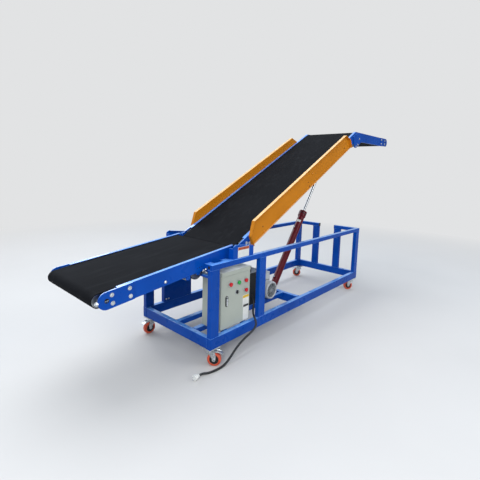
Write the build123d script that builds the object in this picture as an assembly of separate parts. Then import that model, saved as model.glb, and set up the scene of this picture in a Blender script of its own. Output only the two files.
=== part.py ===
from build123d import *
import math
import os

os.makedirs("parts", exist_ok=True)

# Mobile belt conveyor on four swivel casters, with a hydraulic boom.
# Millimetres. +X runs from the low infeed end to the high discharge end, +Z is up,
# the floor is z = 0 and the machine is centred on the origin along X and Y.
# The control box stands on the -Y side, which is called near here, and +Y is far.
# A cut runs 1 mm past the faces that it opens.

# Driving sizes: chassis
chassis_length = 2400.0
chassis_width = 820.0
deck_z = 140.0            # underside of the bottom rails
frame_height = 605.0      # underside of the bottom rails to the top of the upper rails
rail_w = 40.0             # width of every frame tube across the machine
rail_h = 80.0             # height of the bottom rails and width of the posts
top_rail_h = 40.0
tube_r = 5.0              # outer corner radius of the tubes
mid_post_x = 562.0        # middle of the near intermediate post, from the chassis front
far_post_x = 447.0        # middle of the far intermediate post
tie = (36.0, 640.0, 20.0)     # front cross tie: middle from the chassis front, underside and height
cross_member_x = 1170.0   # middle of the bottom cross member, from the chassis front
rear_gap = 210.0          # opening between the two rear top rails
cap_t = 3.0
sub_rail_y = (-190.0, 0.0)    # middles of the two lengthwise tubes inside the chassis
shelf_margin = 20.0
shelf_t = 5.0

# Driving sizes: casters
wheel_r = 50.0
wheel_w = 32.0
tread_round = 4.0
hub_r = 34.0
hub_boss_r = 12.0
hub_recess = 7.0
hub_rim = 4.0
caster_trail = 28.0
caster_inset = 50.0       # swivel axis from the end and side faces of the chassis
caster_plate = (104.0, 96.0, 8.0)
swivel_r = 26.0
crown_over_wheel = 6.0
axle_r = 5.0
axle_play = 0.05
axle_nut = (9.0, 5.0)     # radius and height
fork_t = 4.0
fork_gap = 3.0            # between the wheel and each fork leg
fork_back = 6.0           # crown past the axle
leg_foot = 9.0            # half size of a leg round the axle
leg_shoulder = (14.0, 20.0)   # corner of a leg, from the axle
swivel_play = 0.3         # between the fork and its plate
pedal = (58.0, 36.0, 4.0)     # length, width and thickness
pedal_knee = (10.0, 9.6)  # from the pedal's end, and drop at the knee
pedal_drop = 16.0
pedal_skew = 1.0          # of the underside's corners

# Driving sizes: belts and conveyor frames
belt_w = 596.0
belt_t = 4.0
belt_play = 0.3           # between a roller and the belt round it
roller_r = 37.0
roller_shaft_r = 10.0
frame_outer_y = 325.0     # outer face of the conveyor side frames
side_h = 100.0            # height of the side frames
side_t = 4.0
flange_w = 25.0
belt_drop = 6.0           # belt surface below the top of the flanges
roller_lead = 32.0        # end rollers beyond the holes of the end plates
web_start = 22.0          # where a side frame begins, past the hole of its end plate
flange_start = 73.0       # where its flanges begin
end_plate_t = 6.0
end_plate_len = 165.0     # from the hole to the inner end of an end plate
end_hole_r = 8.0
bed_t = 3.0
bed_margin = 8.0          # from the bed to the belt's turn over a roller

# Driving sizes: infeed conveyor
infeed_angle = 6.4
infeed_hole_x = -695.0    # hole of the tail plates, from the chassis front
infeed_hole_z = 667.0
infeed_end_x = 264.0      # upper roller of the infeed conveyor, from the chassis front
infeed_frame_over = 40.0  # side frames past the upper roller
drive_r = 50.0            # drive drum under the infeed conveyor
drive_x = -40.0
drive_z = 688.0
snub_r = 22.0
snub_pitch = 88.0         # from the drive drum to each snub roller
lug_r = 18.0
lug_plate_t = 8.0
shaft_notch = 3.0         # round the drum's shaft in the lower flanges
bracket_x = (40.0, 190.0)     # middles of the brackets that carry the infeed conveyor
bracket_size = (60.0, 28.0)   # length and height
bracket_drop = 5.0            # below the top of the upper rails

# Driving sizes: boom
pivot_x = 383.0           # boom pivot, from the chassis front
pivot_z = 786.0
boom_angle = 27.7         # slope of the boom as it stands
incline_len = 2190.0      # pivot to the elbow
head_len = 936.0          # elbow to the hole of the head plates
return_r = 30.0           # roller that holds the lower run down at the elbow
pivot_r = 15.0
pivot_play = 0.05
pin_head = (19.0, 6.0)    # radius and height

# Outline of the elbow plates, x and z from the elbow
elbow_plate = ((-75.0, -12.0), (-34.0, -128.0), (14.0, -128.0), (98.0, -84.0), (140.0, -50.0),
               (140.0, 8.0), (18.0, 40.0))

# Driving sizes: side guards, in the boom's own axes from the pivot
guard_start = 113.0
guard_end = 1988.0
guard_low = -48.0
guard_high = 130.0
guard_chamfer = 88.0
guard_t = 3.0
guard_gap = 6.0           # spacers between the side frames and the guards
guard_lip = 29.0          # depth of the folded edge
guard_low_lip = 12.0
spacer_r = 9.0
spacer_u = (261.0, 1014.0, 1791.0)
spacer_w = 17.0

# Driving sizes: hinge stands
stand_x0 = 222.0          # from the chassis front
stand_x1 = 446.0
stand_t = 6.0
stand_y = 399.0           # outer face
stand_flange = 47.0
stand_high = 105.0        # height at the infeed end
stand_low = 75.0          # height at the other end
stand_corner = 28.0
stand_lip = 18.0
stand_lip_start = 33.6    # from the stand's infeed edge
bearing_r = 36.0
bearing_len = 33.0

# Driving sizes: lift cylinder
base_pin_x = 1260.0       # from the chassis front
base_pin_z = 176.0
eye_u = 1821.0            # rod eye in the boom's axes, from the pivot
eye_w = -265.0
barrel_r = 36.0
barrel_len = 935.0        # base pin to the end of the barrel
barrel_start = 42.0
barrel_bore_start = 100.0
gland_r = 43.0
gland_len = 62.0
gland_groove = (3.0, 8.0)     # depth and width
rod_r = 14.0
rod_len = 900.0
rod_play = 0.05
eye_r = 30.0
eye_t = 36.0
eye_neck = 24.0           # half height of the neck between the eye and the barrel
cylinder_pin_r = 15.0
lug_t = 12.0
lug_side_gap = 3.0
pin_over = 8.0
hanger_gap = 14.0         # between the rod eye and each hanger plate
hanger_t = 10.0
hanger_u = (1690.0, 1900.0)   # middles of the two cross tubes, from the pivot
hanger_tube = (60.0, 30.0)    # width along the boom and height
hanger_mitre = (40.0, 4.0)    # length of a slanted end and height left at its tip
hanger_pin_play = 5.0

# Driving sizes: control box
box_x0 = 131.0            # from the chassis front
box_w = 314.0
box_d = 180.0
box_h = 435.0
box_t = 2.0
box_front_y = -358.0      # front edge of the box body
hood_h = 30.0
hood_over = 20.0
door_t = 14.0
door_round = 2.0
door_stile = 8.0          # solid edge that holds the hinge pins
door_gap = 2.0
door_low_gap = 9.0
door_hood_gap = 3.0
hinge_inset = (3.0, 4.0)  # hinge pins from the door's edge and from its face
hinge_pin = (2.5, 10.0)   # radius and length in the door
hinge_play = 0.05
hinge_arm = 4.0
support_h = 20.0
support_x = (40.0, 250.0)     # flat supports under the box, from its edge
support_w = 30.0

# Buttons on the door: from its infeed edge, and down from its top edge
stop_places = ((88.0, 65.0), (259.0, 69.0), (262.0, 145.0))
start_place = (178.0, 68.0)
selector_place = (164.0, 140.0)
lock_place = (58.0, 187.0)
bezel = (17.0, 5.0)       # radius and height
cap = (15.5, 12.0)        # radius and thickness
cap_out = 22.0            # from the door to the cap's face
cap_round = 5.0
stem_r = 9.0
selector_lever = (8.0, 26.0, 18.0)    # thickness, length and height
selector_turn = 35.0
lock_plate = (80.0, 28.0, 4.0)    # length, width and thickness
lock_handle = (56.0, 14.0, 9.0)
lock_handle_drop = 6.0    # below the middle of the plate
key_barrel = (5.5, 7.0, 31.0)     # radius, height and place above the middle
key_slot = (2.0, 8.0)

# Driving sizes: hydraulic power pack
motor_x = 911.0           # from the chassis front
motor_core_r = 58.0
motor_r = 67.5            # over the fins
motor_back = 22.0         # end shield from the shelf's near edge
fin_count = 28
fin_t = 2.6
motor_len = 188.0
shaft_height = 84.0
foot_size = (150.0, 120.0, 12.0)
foot_web = 46.0
terminal_box = (120.0, 100.0, 92.0)
terminal_back = 4.0       # gap to the end shield
terminal_sink = 4.0       # how far its foot goes into the finned body
shield_t = 9.0            # end shield that the fan cover is fixed to
fan_r = 80.0
fan_len = 64.0
fan_wall = 2.0
fan_round = 10.0
grille_ring_r = (66.0, 47.0, 28.0)     # rings of slots
grille_count = (24, 18, 10)            # slots in each ring
grille_slot = (13.0, 5.0)
bell_size = (52.0, 36.0)
pump_size = (92.0, 76.0, 100.0)
valve_r = 15.0
valve_h = 84.0
tank_x0 = 560.0
tank_y0 = -205.0
tank_size = (240.0, 190.0, 286.0)
tank_round = 10.0
tank_lid = 8.0
filler = (22.0, 26.0)     # radius and height
filler_x = 180.0          # from the tank's infeed face

# Driving sizes: far side panel
panel_x0 = 182.0          # from the chassis front
panel_d = 39.0

# Driving sizes: mains cord
cord_d = 16.0
gland_y = -325.0
gland_z = 395.0
nut_size = (15.0, 8.0)
gland_cone = (13.0, 9.0)  # radii at the nut and at the cord
plug_size = (58.0, 46.0, 40.0)
plug_round = 6.0

# Route of the cord: x from the chassis front, y and z
cord_route = ((467, -325, 395), (490, -325, 395), (513, -326, 390), (532, -329, 376), (543, -333, 354),
              (544, -339, 326), (535, -347, 299), (518, -357, 276), (497, -374, 260), (478, -397, 249),
              (465, -422, 233), (458, -440, 211), (445, -448, 188), (421, -450, 171), (389, -451, 159),
              (354, -451, 149), (318, -451, 138), (283, -451, 125), (249, -451, 109), (217, -451, 90),
              (187, -451, 68), (157, -451, 45), (126, -451, 25.5), (92, -451, 13), (56, -450, 9),
              (19, -447, 8.3), (-17, -441, 8.2), (-52, -432, 10.5), (-84, -425, 20), (-114, -424, 20))

# Worked out from the driving sizes
belt_r = roller_r + belt_play + belt_t        # outside of the belt round an end roller
half_w = chassis_width / 2
rail_inner_y = half_w - rail_w
rad_boom = math.radians(boom_angle)
rad_feed = math.radians(infeed_angle)
elbow_x = pivot_x + incline_len * math.cos(rad_boom)
elbow_z = pivot_z + incline_len * math.sin(rad_boom)
machine_x0 = infeed_hole_x - roller_lead - belt_r
machine_x1 = elbow_x + head_len + roller_lead + belt_r
front_x = -(machine_x0 + machine_x1) / 2      # chassis front in the part's own axes
rail_top = deck_z + rail_h
frame_top = deck_z + frame_height
side_top = side_h / 2
belt_top = side_top - belt_drop
roller_w = belt_top - belt_r                  # height of the end rollers above the frames' middle line
return_face = roller_w - belt_r               # outer face of the lower run
inner_y = frame_outer_y - side_t
plate_outer_y = frame_outer_y + end_plate_t
box_x1 = box_x0 + box_w
box_top = rail_top + box_h
door_front_y = box_front_y - door_gap - door_t
door_z0 = rail_top + door_low_gap
door_z1 = box_top - hood_h - door_hood_gap
hinge_x = box_x1 - hinge_inset[0]
hinge_y = door_front_y + hinge_inset[1]
motor_z = rail_top + shelf_t + shaft_height
shelf_y0 = sub_rail_y[0] - rail_w / 2
shelf_y1 = sub_rail_y[1] + rail_w / 2
motor_front_y = shelf_y0 + motor_back
hanger_y = eye_t / 2 + hanger_gap


def block(x0, x1, y0, y1, z0, z1):
    """A plain block between two corners."""
    size = (x1 - x0, y1 - y0, z1 - z0)
    return Pos((x0 + x1) / 2, (y0 + y1) / 2, (z0 + z1) / 2) * Box(*size)


def tube_x(x0, x1, y, z0, h, w=rail_w):
    """A rectangular tube with rounded corners along X, centred on y."""
    face = Plane.YZ * Pos(y, z0 + h / 2) * RectangleRounded(w, h, tube_r)
    return Pos(x0, 0, 0) * extrude(face, x1 - x0)


def tube_y(y0, y1, x, z0, h, w=rail_w):
    """A rectangular tube with rounded corners along Y, centred on x."""
    face = Plane.XZ * Pos(x, z0 + h / 2) * RectangleRounded(w, h, tube_r)
    return Pos(0, y1, 0) * extrude(face, y1 - y0)


def post(x, y, wx, wy):
    """An upright tube between the bottom rails and the upper rails."""
    height = frame_height - rail_h - top_rail_h
    return Pos(x, y, rail_top) * extrude(RectangleRounded(wx, wy, tube_r), height)


def rod_y(r, y0, y1, x=0.0, z=0.0):
    """A round bar along Y."""
    return Pos(x, (y0 + y1) / 2, z) * Rot(90, 0, 0) * Cylinder(r, y1 - y0)


def rod_x(r, x0, x1, y=0.0, z=0.0):
    """A round bar along X."""
    return Pos((x0 + x1) / 2, y, z) * Rot(0, 90, 0) * Cylinder(r, x1 - x0)


def plate_xz(points, y0, y1):
    """A flat plate with an outline in X and Z, between two y planes."""
    face = Plane.XZ * make_face(Polyline(*points, close=True))
    return Pos(0, y1, 0) * extrude(face, y1 - y0)


def both_sides(shape):
    """The shape and its mirror image across the middle plane."""
    return [shape, mirror(shape, about=Plane.XZ)]


def solids_of(things):
    """Every solid in a nested list of shapes."""
    found = []
    for thing in things:
        if isinstance(thing, (list, tuple)):
            found += solids_of(thing)
        else:
            found += list(thing.solids())
    return found


def save(name, *things):
    """Write one node from one or more separate solids."""
    found = solids_of(things)
    shape = found[0] if len(found) == 1 else Compound(children=found)
    export_step(shape, f"parts/{name}.step")


def on_feed(shape):
    """Place a shape drawn along the infeed conveyor's own axes, from its tail hole."""
    return Pos(front_x + infeed_hole_x, 0, infeed_hole_z) * Rot(0, -infeed_angle, 0) * shape


def on_boom(shape):
    """Place a shape drawn along the boom's own axes, from the pivot."""
    return Pos(front_x + pivot_x, 0, pivot_z) * Rot(0, -boom_angle, 0) * shape


def on_head(shape):
    """Place a shape drawn along the level head, from the elbow."""
    return Pos(front_x + elbow_x, 0, elbow_z) * shape


# Chassis

def chassis():
    x0 = front_x
    x1 = front_x + chassis_length
    side_y = half_w - rail_w / 2
    save("bottom_side_rails", [tube_x(x0, x1, s * side_y, deck_z, rail_h) for s in (-1, 1)])
    cross_rows = [(x, deck_z, rail_h) for x in (rail_w / 2, cross_member_x, chassis_length - rail_w / 2)]
    save("cross_rails",
         [tube_y(-rail_inner_y, rail_inner_y, x0 + x, z, h) for x, z, h in (*cross_rows, tie)])
    pairs = ((rail_h / 2, rail_h / 2), (mid_post_x, far_post_x),
             (chassis_length - rail_h / 2, chassis_length - rail_h / 2))
    posts = [post(x0 + x, s * side_y, rail_h, rail_w) for pair in pairs for x, s in zip(pair, (-1, 1))]
    end_x = x1 - rail_w / 2
    gap = rear_gap / 2
    posts += [post(end_x, s * (gap + rail_h / 2), rail_w, rail_h) for s in (-1, 1)]
    save("posts", posts)
    top_z = frame_top - top_rail_h
    save("upper_side_rails", [tube_x(x0, x1, s * side_y, top_z, top_rail_h) for s in (-1, 1)])
    save("rear_top_rails", both_sides(tube_y(gap, rail_inner_y, end_x, top_z, top_rail_h)))
    save("rail_end_caps", both_sides(tube_y(gap - cap_t, gap, end_x, top_z, top_rail_h)))


def sub_frame():
    """Two lengthwise tubes inside the chassis, the box supports and the power pack's shelf."""
    x0 = front_x + rail_w
    x1 = front_x + cross_member_x - rail_w / 2
    save("sub_frame_rails", [tube_x(x0, x1, y, rail_top - top_rail_h, top_rail_h) for y in sub_rail_y])
    starts = [front_x + box_x0 + x for x in support_x]
    save("box_supports", [block(x, x + support_w, -rail_inner_y, shelf_y0, rail_top - support_h, rail_top)
                          for x in starts])
    shelf = block(front_x + tank_x0 - shelf_margin, front_x + motor_x + foot_size[0] / 2 + shelf_margin,
                  shelf_y0, shelf_y1, rail_top, rail_top + shelf_t)
    save("power_pack_shelf", shelf)


# Casters

# One row per caster: name, end of the chassis (0 infeed, 1 discharge), side (-1 near, 1 far),
# heading of the wheel as it stands, in degrees from +X
caster_table = (
    ("front_near", 0, -1, -55.0),
    ("front_far", 0, 1, 180.0),
    ("rear_near", 1, -1, 140.0),
    ("rear_far", 1, 1, 125.0),
)
crown_z = wheel_r * 2 + crown_over_wheel + fork_t     # top of the fork's crown


def caster_fork():
    """A fork drawn with its swivel axis on Z and its wheel trailing towards +X."""
    top = deck_z - caster_plate[2] - swivel_play
    leg_y = wheel_w / 2 + fork_gap
    shape = Pos(0, 0, (crown_z + top) / 2) * Cylinder(swivel_r, top - crown_z)
    out_y = leg_y + fork_t
    shape += block(-swivel_r, caster_trail + fork_back, -out_y, out_y, crown_z - fork_t, crown_z)
    shoulder_x, shoulder_z = leg_shoulder
    outline = [(-swivel_r, crown_z), (caster_trail - leg_foot, wheel_r - leg_foot),
               (caster_trail + leg_foot, wheel_r - leg_foot),
               (caster_trail + shoulder_x, wheel_r + shoulder_z), (caster_trail + fork_back, crown_z)]
    for y0 in (-leg_y - fork_t, leg_y):
        shape += plate_xz(outline, y0, y0 + fork_t)
    nut_r, nut_h = axle_nut
    shape += rod_y(nut_r, out_y, out_y + nut_h, caster_trail, wheel_r)
    shape += rod_y(nut_r, -out_y - nut_h, -out_y, caster_trail, wheel_r)
    return shape + rod_y(axle_r, -leg_y, leg_y, caster_trail, wheel_r)


def caster_wheel():
    """Tread and hub on the wheel's own axis."""
    half = wheel_w / 2
    tread = rod_y(wheel_r, -half, half) - rod_y(hub_r, -half - 1, half + 1)
    rims = tread.edges().filter_by(GeomType.CIRCLE).sort_by(SortBy.RADIUS)[-2:]
    tread = fillet(rims, tread_round)
    hub = rod_y(hub_r, -half, half)
    for y0, y1 in ((half - hub_recess, half + 1), (-half - 1, hub_recess - half)):
        hub -= rod_y(hub_r - hub_rim, y0, y1) - rod_y(hub_boss_r, y0, y1)
    return tread, hub - rod_y(axle_r + axle_play, -half - 1, half + 1)


def caster_brake():
    """The pressed pedal past the trailing side of the wheel."""
    length, width, t = pedal
    x0 = caster_trail + fork_back
    x1 = x0 + length
    knee_x = x1 - pedal_knee[0]
    knee_z = crown_z - pedal_knee[1]
    end_z = crown_z - pedal_drop
    points = [(x0, crown_z - t), (x0, crown_z), (knee_x, knee_z), (x1, end_z),
              (x1 - pedal_skew, end_z - t), (knee_x - pedal_skew, knee_z - t)]
    return plate_xz(points, -width / 2, width / 2)


def casters():
    plates = []
    for name, end, side, heading in caster_table:
        x = front_x + (caster_inset if end == 0 else chassis_length - caster_inset)
        y = side * (half_w - caster_inset)
        plates.append(Pos(x, y, deck_z - caster_plate[2] / 2) * Box(*caster_plate))
        place = Pos(x, y, 0) * Rot(0, 0, heading)
        at_axle = place * Pos(caster_trail, 0, wheel_r)
        tread, hub = caster_wheel()
        save(f"fork_{name}", place * caster_fork())
        save(f"brake_{name}", place * caster_brake())
        save(f"tread_{name}", at_axle * tread)
        save(f"hub_{name}", at_axle * hub)
    save("caster_plates", plates)


# Pieces that both conveyors share

def side_channel(u0, u1, flange_u0, flange_u1):
    """Near side frame: upright web with inward flanges, drawn along X."""
    shape = block(u0, u1, -frame_outer_y, -inner_y, -side_top, side_top)
    for w in (-side_top, side_top - side_t):
        shape += block(flange_u0, flange_u1, -frame_outer_y, -frame_outer_y + flange_w, w, w + side_t)
    return shape


def end_plate(hole_r):
    """Near outer plate of a conveyor end, from its hole towards +X, with a half-round end."""
    arc = ThreePointArc((0, side_top), (-side_top, 0), (0, -side_top))
    rest = Polyline((0, -side_top), (end_plate_len, -side_top), (end_plate_len, side_top), (0, side_top))
    plate = Pos(0, -frame_outer_y, 0) * extrude(Plane.XZ * make_face([arc, rest]), end_plate_t)
    return plate - rod_y(hole_r, -plate_outer_y - 1, -frame_outer_y + 1)


def roller(r, place, shaft_y):
    """A roller with its shaft ends, along Y."""
    x, z = place
    return rod_y(r, -belt_w / 2, belt_w / 2, x, z) + rod_y(roller_shaft_r, -shaft_y, shaft_y, x, z)


def run_line(a, b):
    """Straight run between two wheels (x, z, signed radius), taken anticlockwise round a plus radius."""
    dx = b[0] - a[0]
    dz = b[1] - a[1]
    angle = math.atan2(dz, dx) - math.acos((a[2] - b[2]) / math.hypot(dx, dz))
    n = (math.cos(angle), math.sin(angle))
    return (a[0] + a[2] * n[0], a[1] + a[2] * n[1]), (b[0] + b[2] * n[0], b[1] + b[2] * n[1])


def loop_face(wheels):
    """Face inside a band that runs anticlockwise past wheels (x, z, radius, turn).

    turn is 1 for a wheel inside the band and -1 for one that presses on it from outside.
    """
    signed = [(x, z, r * turn) for x, z, r, turn in wheels]
    lines = [run_line(signed[i], signed[(i + 1) % len(signed)]) for i in range(len(signed))]
    edges = []
    for i, (x, z, r, turn) in enumerate(wheels):
        start = lines[i - 1][1]
        end = lines[i][0]
        a0 = math.atan2(start[1] - z, start[0] - x)
        a1 = math.atan2(end[1] - z, end[0] - x)
        sweep = (turn * (a1 - a0)) % (2 * math.pi)
        mid = a0 + turn * sweep / 2
        edges.append(ThreePointArc(start, (x + r * math.cos(mid), z + r * math.sin(mid)), end))
        edges.append(Line(*lines[i]))
    return make_face(edges)


def belt(wheels):
    """A belt loop round rollers (x, z, radius, turn)."""
    outer = [(x, z, r + belt_play + (belt_t if turn > 0 else 0), turn) for x, z, r, turn in wheels]
    inner = [(x, z, r + belt_play + (belt_t if turn < 0 else 0), turn) for x, z, r, turn in wheels]
    band = loop_face(outer) - loop_face(inner)
    return Pos(0, belt_w / 2, 0) * extrude(Plane.XZ * band, belt_w)


def bed(u0, u1):
    """Flat sheet under the upper run."""
    top = belt_top - belt_t
    return block(u0, u1, -inner_y, inner_y, top - bed_t, top)


# Infeed conveyor

def infeed():
    reach = (infeed_end_x - infeed_hole_x) / math.cos(rad_feed)
    tail = (-roller_lead, roller_w)
    upper = (reach, roller_w)
    dx = drive_x - infeed_hole_x
    dz = drive_z - infeed_hole_z
    cos, sin = math.cos(rad_feed), math.sin(rad_feed)
    drum = (dx * cos + dz * sin, dz * cos - dx * sin)
    snub_w = return_face - snub_r - belt_play
    snubs = [(drum[0] - snub_pitch, snub_w), (drum[0] + snub_pitch, snub_w)]

    frame_end = reach + infeed_frame_over
    channel = side_channel(web_start, frame_end, flange_start, frame_end)
    lug_y = inner_y - lug_plate_t
    channel += block(snubs[0][0], snubs[1][0], -inner_y, -lug_y, drum[1], 0)
    for u, w in (snubs[0], drum, snubs[1]):
        channel += rod_y(lug_r, -inner_y, -lug_y, u, w)
    notch_r = roller_shaft_r + shaft_notch
    channel -= rod_y(notch_r, -lug_y, -frame_outer_y + flange_w + 1, *drum)
    save("infeed_side_frames", [on_feed(s) for s in both_sides(channel)])
    save("infeed_tail_plates", [on_feed(s) for s in both_sides(end_plate(end_hole_r))])
    save("infeed_bed", on_feed(bed(tail[0] + belt_r + bed_margin, reach - belt_r - bed_margin)))

    path = [(*tail, roller_r, 1), (*snubs[0], snub_r, -1), (*drum, drive_r, 1),
            (*snubs[1], snub_r, -1), (*upper, roller_r, 1)]
    save("infeed_belt", on_feed(belt(path)))
    rollers = [roller(roller_r, tail, frame_outer_y), roller(roller_r, upper, inner_y),
               roller(drive_r, drum, lug_y)]
    rollers += [roller(snub_r, place, lug_y) for place in snubs]
    save("infeed_rollers", [on_feed(r) for r in rollers])

    length, height = bracket_size
    z1 = frame_top - bracket_drop
    brackets = []
    for x in bracket_x:
        x0 = front_x + x - length / 2
        brackets += both_sides(block(x0, x0 + length, -rail_inner_y, -frame_outer_y, z1 - height, z1))
    save("infeed_brackets", brackets)


# Hinge stands

def hinge_stands():
    """Folded plates on the upper rails that carry the boom's pivot pins."""
    inner = stand_y - stand_t
    x0 = front_x + stand_x0
    x1 = front_x + stand_x1
    z0 = frame_top
    outline = make_face(Polyline((x0, z0), (x1, z0), (x1, z0 + stand_low), (x0, z0 + stand_high),
                                 close=True))
    corner = outline.vertices().sort_by(Axis.Y)[-1]
    face = Plane.XZ * fillet(corner, stand_corner)
    stand = Pos(0, -inner, 0) * extrude(face, stand_t)
    stand += block(x0, x0 + stand_t, -stand_y, -stand_y + stand_flange, z0, z0 + stand_high - stand_corner)
    slope = (stand_high - stand_low) / (stand_x1 - stand_x0)
    lip_x = x0 + stand_lip_start
    lip_z = z0 + stand_high - slope * stand_lip_start
    lip = [(lip_x, lip_z), (x1, z0 + stand_low), (x1, z0 + stand_low - side_t), (lip_x, lip_z - side_t)]
    stand += plate_xz(lip, -inner, -inner + stand_lip)
    px = front_x + pivot_x
    stand += rod_y(bearing_r, -inner, -inner + bearing_len, px, pivot_z)
    stand -= rod_y(pivot_r + pivot_play, -inner, -inner + bearing_len + 1, px, pivot_z)
    save("hinge_stands", both_sides(stand))


# Boom

def boom_frames():
    half_turn = math.tan(rad_boom / 2)
    over = side_top * half_turn + 1
    incline = side_channel(web_start, incline_len + over, flange_start, incline_len + over)
    level = side_channel(-over, head_len - web_start, -over, head_len - flange_start)
    reach = side_h
    lean = reach * half_turn
    past = [(lean, reach), (-lean, -reach), (reach * 2, -reach), (reach * 2, reach)]
    before = [(-lean, reach), (lean, -reach), (-reach * 2, -reach), (-reach * 2, reach)]
    incline -= Pos(incline_len, 0, 0) * plate_xz(past, -half_w, half_w)
    level -= plate_xz(before, -half_w, half_w)
    save("boom_side_frames", [on_boom(s) for s in both_sides(incline)])
    save("boom_head_frames", [on_head(s) for s in both_sides(level)])

    tail_plates = [on_boom(s) for s in both_sides(end_plate(pivot_r + pivot_play))]
    turned = Pos(head_len, 0, 0) * Rot(0, 0, 180) * end_plate(end_hole_r)
    save("boom_end_plates", tail_plates, [on_head(s) for s in both_sides(turned)])
    elbow = plate_xz(elbow_plate, -plate_outer_y, -frame_outer_y)
    save("elbow_plates", [on_head(s) for s in both_sides(elbow)])
    head_r, head_h = pin_head
    pin = rod_y(pivot_r, -stand_y + stand_t, -frame_outer_y)
    pin += rod_y(head_r, -frame_outer_y, -frame_outer_y + head_h)
    save("pivot_pins", [on_boom(s) for s in both_sides(pin)])


def boom_belt():
    """The boom's belt, its rollers and the bed, with the lower run held down at the elbow."""
    half_turn = math.tan(rad_boom / 2)
    return_w = return_face - return_r - belt_play
    tail = (-roller_lead, roller_w)
    elbow_top = (incline_len + roller_w * half_turn, roller_w)
    elbow_low = (incline_len + return_w * half_turn, return_w)
    reach = head_len + roller_lead
    cos, sin = math.cos(rad_boom), math.sin(rad_boom)
    head = (incline_len + reach * cos + roller_w * sin, roller_w * cos - reach * sin)
    path = [(*tail, roller_r, 1), (*elbow_low, return_r, -1), (*head, roller_r, 1),
            (*elbow_top, roller_r, 1)]
    save("boom_belt", on_boom(belt(path)))
    rollers = [roller(roller_r, tail, frame_outer_y), roller(roller_r, elbow_top, inner_y),
               roller(roller_r, head, frame_outer_y), roller(return_r, elbow_low, frame_outer_y)]
    save("boom_rollers", [on_boom(r) for r in rollers])
    gap = belt_r + bed_margin
    save("boom_bed", on_boom(bed(tail[0] + gap, incline_len - gap)), on_head(bed(gap, reach - gap)))


def side_guards():
    """Folded side guards, bolted through spacers on the boom's side frames."""
    u0, u1, w0, w1, c = guard_start, guard_end, guard_low, guard_high, guard_chamfer
    outline = make_face(Polyline((u0, w0), (u1, w0), (u1, w1 - c), (u1 - c, w1), (u0 + c, w1), (u0, w1 - c),
                                 close=True))
    inside = offset(outline, -guard_t, kind=Kind.INTERSECTION)
    y_in = frame_outer_y + guard_gap
    guard = Pos(0, -y_in, 0) * extrude(Plane.XZ * outline, guard_lip)
    guard -= Pos(0, -y_in - guard_t, 0) * extrude(Plane.XZ * inside, guard_lip)
    guard -= block(u0 + guard_t, u1 - guard_t, -y_in - guard_lip - 1, -y_in - guard_low_lip,
                   w0 - 1, w0 + guard_t + 1)
    for u in spacer_u:
        guard += rod_y(spacer_r, -y_in, -frame_outer_y, u, spacer_w)
    save("side_guards", [on_boom(s) for s in both_sides(guard)])


def cylinder_hanger():
    """Two cross tubes under the boom with the plates that hold the rod's pin."""
    width, height = hanger_tube
    low = -side_top - height
    mitre, tip = hanger_mitre
    half = [(frame_outer_y, -side_top), (frame_outer_y, -side_top - tip), (frame_outer_y - mitre, low)]
    section = Plane.YZ * make_face(Polyline(*half, *[(-y, z) for y, z in reversed(half)], close=True))
    hanger = None
    for u in hanger_u:
        tube = Pos(u - width / 2, 0, 0) * extrude(section, width)
        hanger = tube if hanger is None else hanger + tube
    left = hanger_u[0] - width / 2
    right = hanger_u[1] + width / 2
    plate = plate_xz([(left, low), (right, low), (eye_u + eye_r, eye_w), (eye_u - eye_r, eye_w)],
                     -hanger_y - hanger_t, -hanger_y)
    plate += rod_y(eye_r, -hanger_y - hanger_t, -hanger_y, eye_u, eye_w)
    plate += rod_y(cylinder_pin_r, -hanger_y - hanger_t - pin_over, -hanger_y, eye_u, eye_w)
    for piece in both_sides(plate):
        hanger += piece
    save("cylinder_hanger", on_boom(hanger))


# Lift cylinder

def lift_cylinder():
    """Base lugs, barrel and rod, drawn along X from the base pin and turned to the rod eye."""
    bx = front_x + base_pin_x
    ex = front_x + pivot_x + eye_u * math.cos(rad_boom) - eye_w * math.sin(rad_boom)
    ez = pivot_z + eye_u * math.sin(rad_boom) + eye_w * math.cos(rad_boom)
    length = math.hypot(ex - bx, ez - base_pin_z)
    angle = math.degrees(math.atan2(ez - base_pin_z, ex - bx))
    print(f"cylinder: {length:.3f} mm from pin to eye at {angle:.3f} degrees")
    place = Pos(bx, 0, base_pin_z) * Rot(0, -angle, 0)

    lug_in = eye_t / 2 + lug_side_gap
    lug = block(front_x + cross_member_x + rail_w / 2, bx, -lug_in - lug_t, -lug_in,
                base_pin_z - eye_r, base_pin_z + eye_r)
    lug += rod_y(eye_r, -lug_in - lug_t, -lug_in, bx, base_pin_z)
    pin_y = lug_in + lug_t + pin_over
    base = rod_y(cylinder_pin_r, -pin_y, pin_y, bx, base_pin_z)
    for piece in both_sides(lug):
        base += piece
    save("cylinder_base", base)

    barrel = rod_x(barrel_r, barrel_start, barrel_len - gland_len)
    barrel += rod_x(gland_r, barrel_len - gland_len, barrel_len)
    depth, width = gland_groove
    middle = barrel_len - gland_len / 2
    barrel -= rod_x(gland_r + 1, middle, middle + width) - rod_x(gland_r - depth, middle, middle + width)
    barrel += rod_y(eye_r, -eye_t / 2, eye_t / 2)
    barrel += block(0, barrel_start, -eye_t / 2, eye_t / 2, -eye_neck, eye_neck)
    barrel -= rod_y(cylinder_pin_r + pivot_play, -eye_t, eye_t)
    barrel -= rod_x(rod_r + rod_play, barrel_bore_start, barrel_len + 1)
    save("cylinder_barrel", place * barrel)

    rod = rod_x(rod_r, length - rod_len, length)
    rod += rod_y(eye_r, -eye_t / 2, eye_t / 2, length)
    pin_half = hanger_y - hanger_pin_play
    rod += rod_y(cylinder_pin_r, -pin_half, pin_half, length)
    save("cylinder_rod", place * rod)


# Control box

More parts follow.
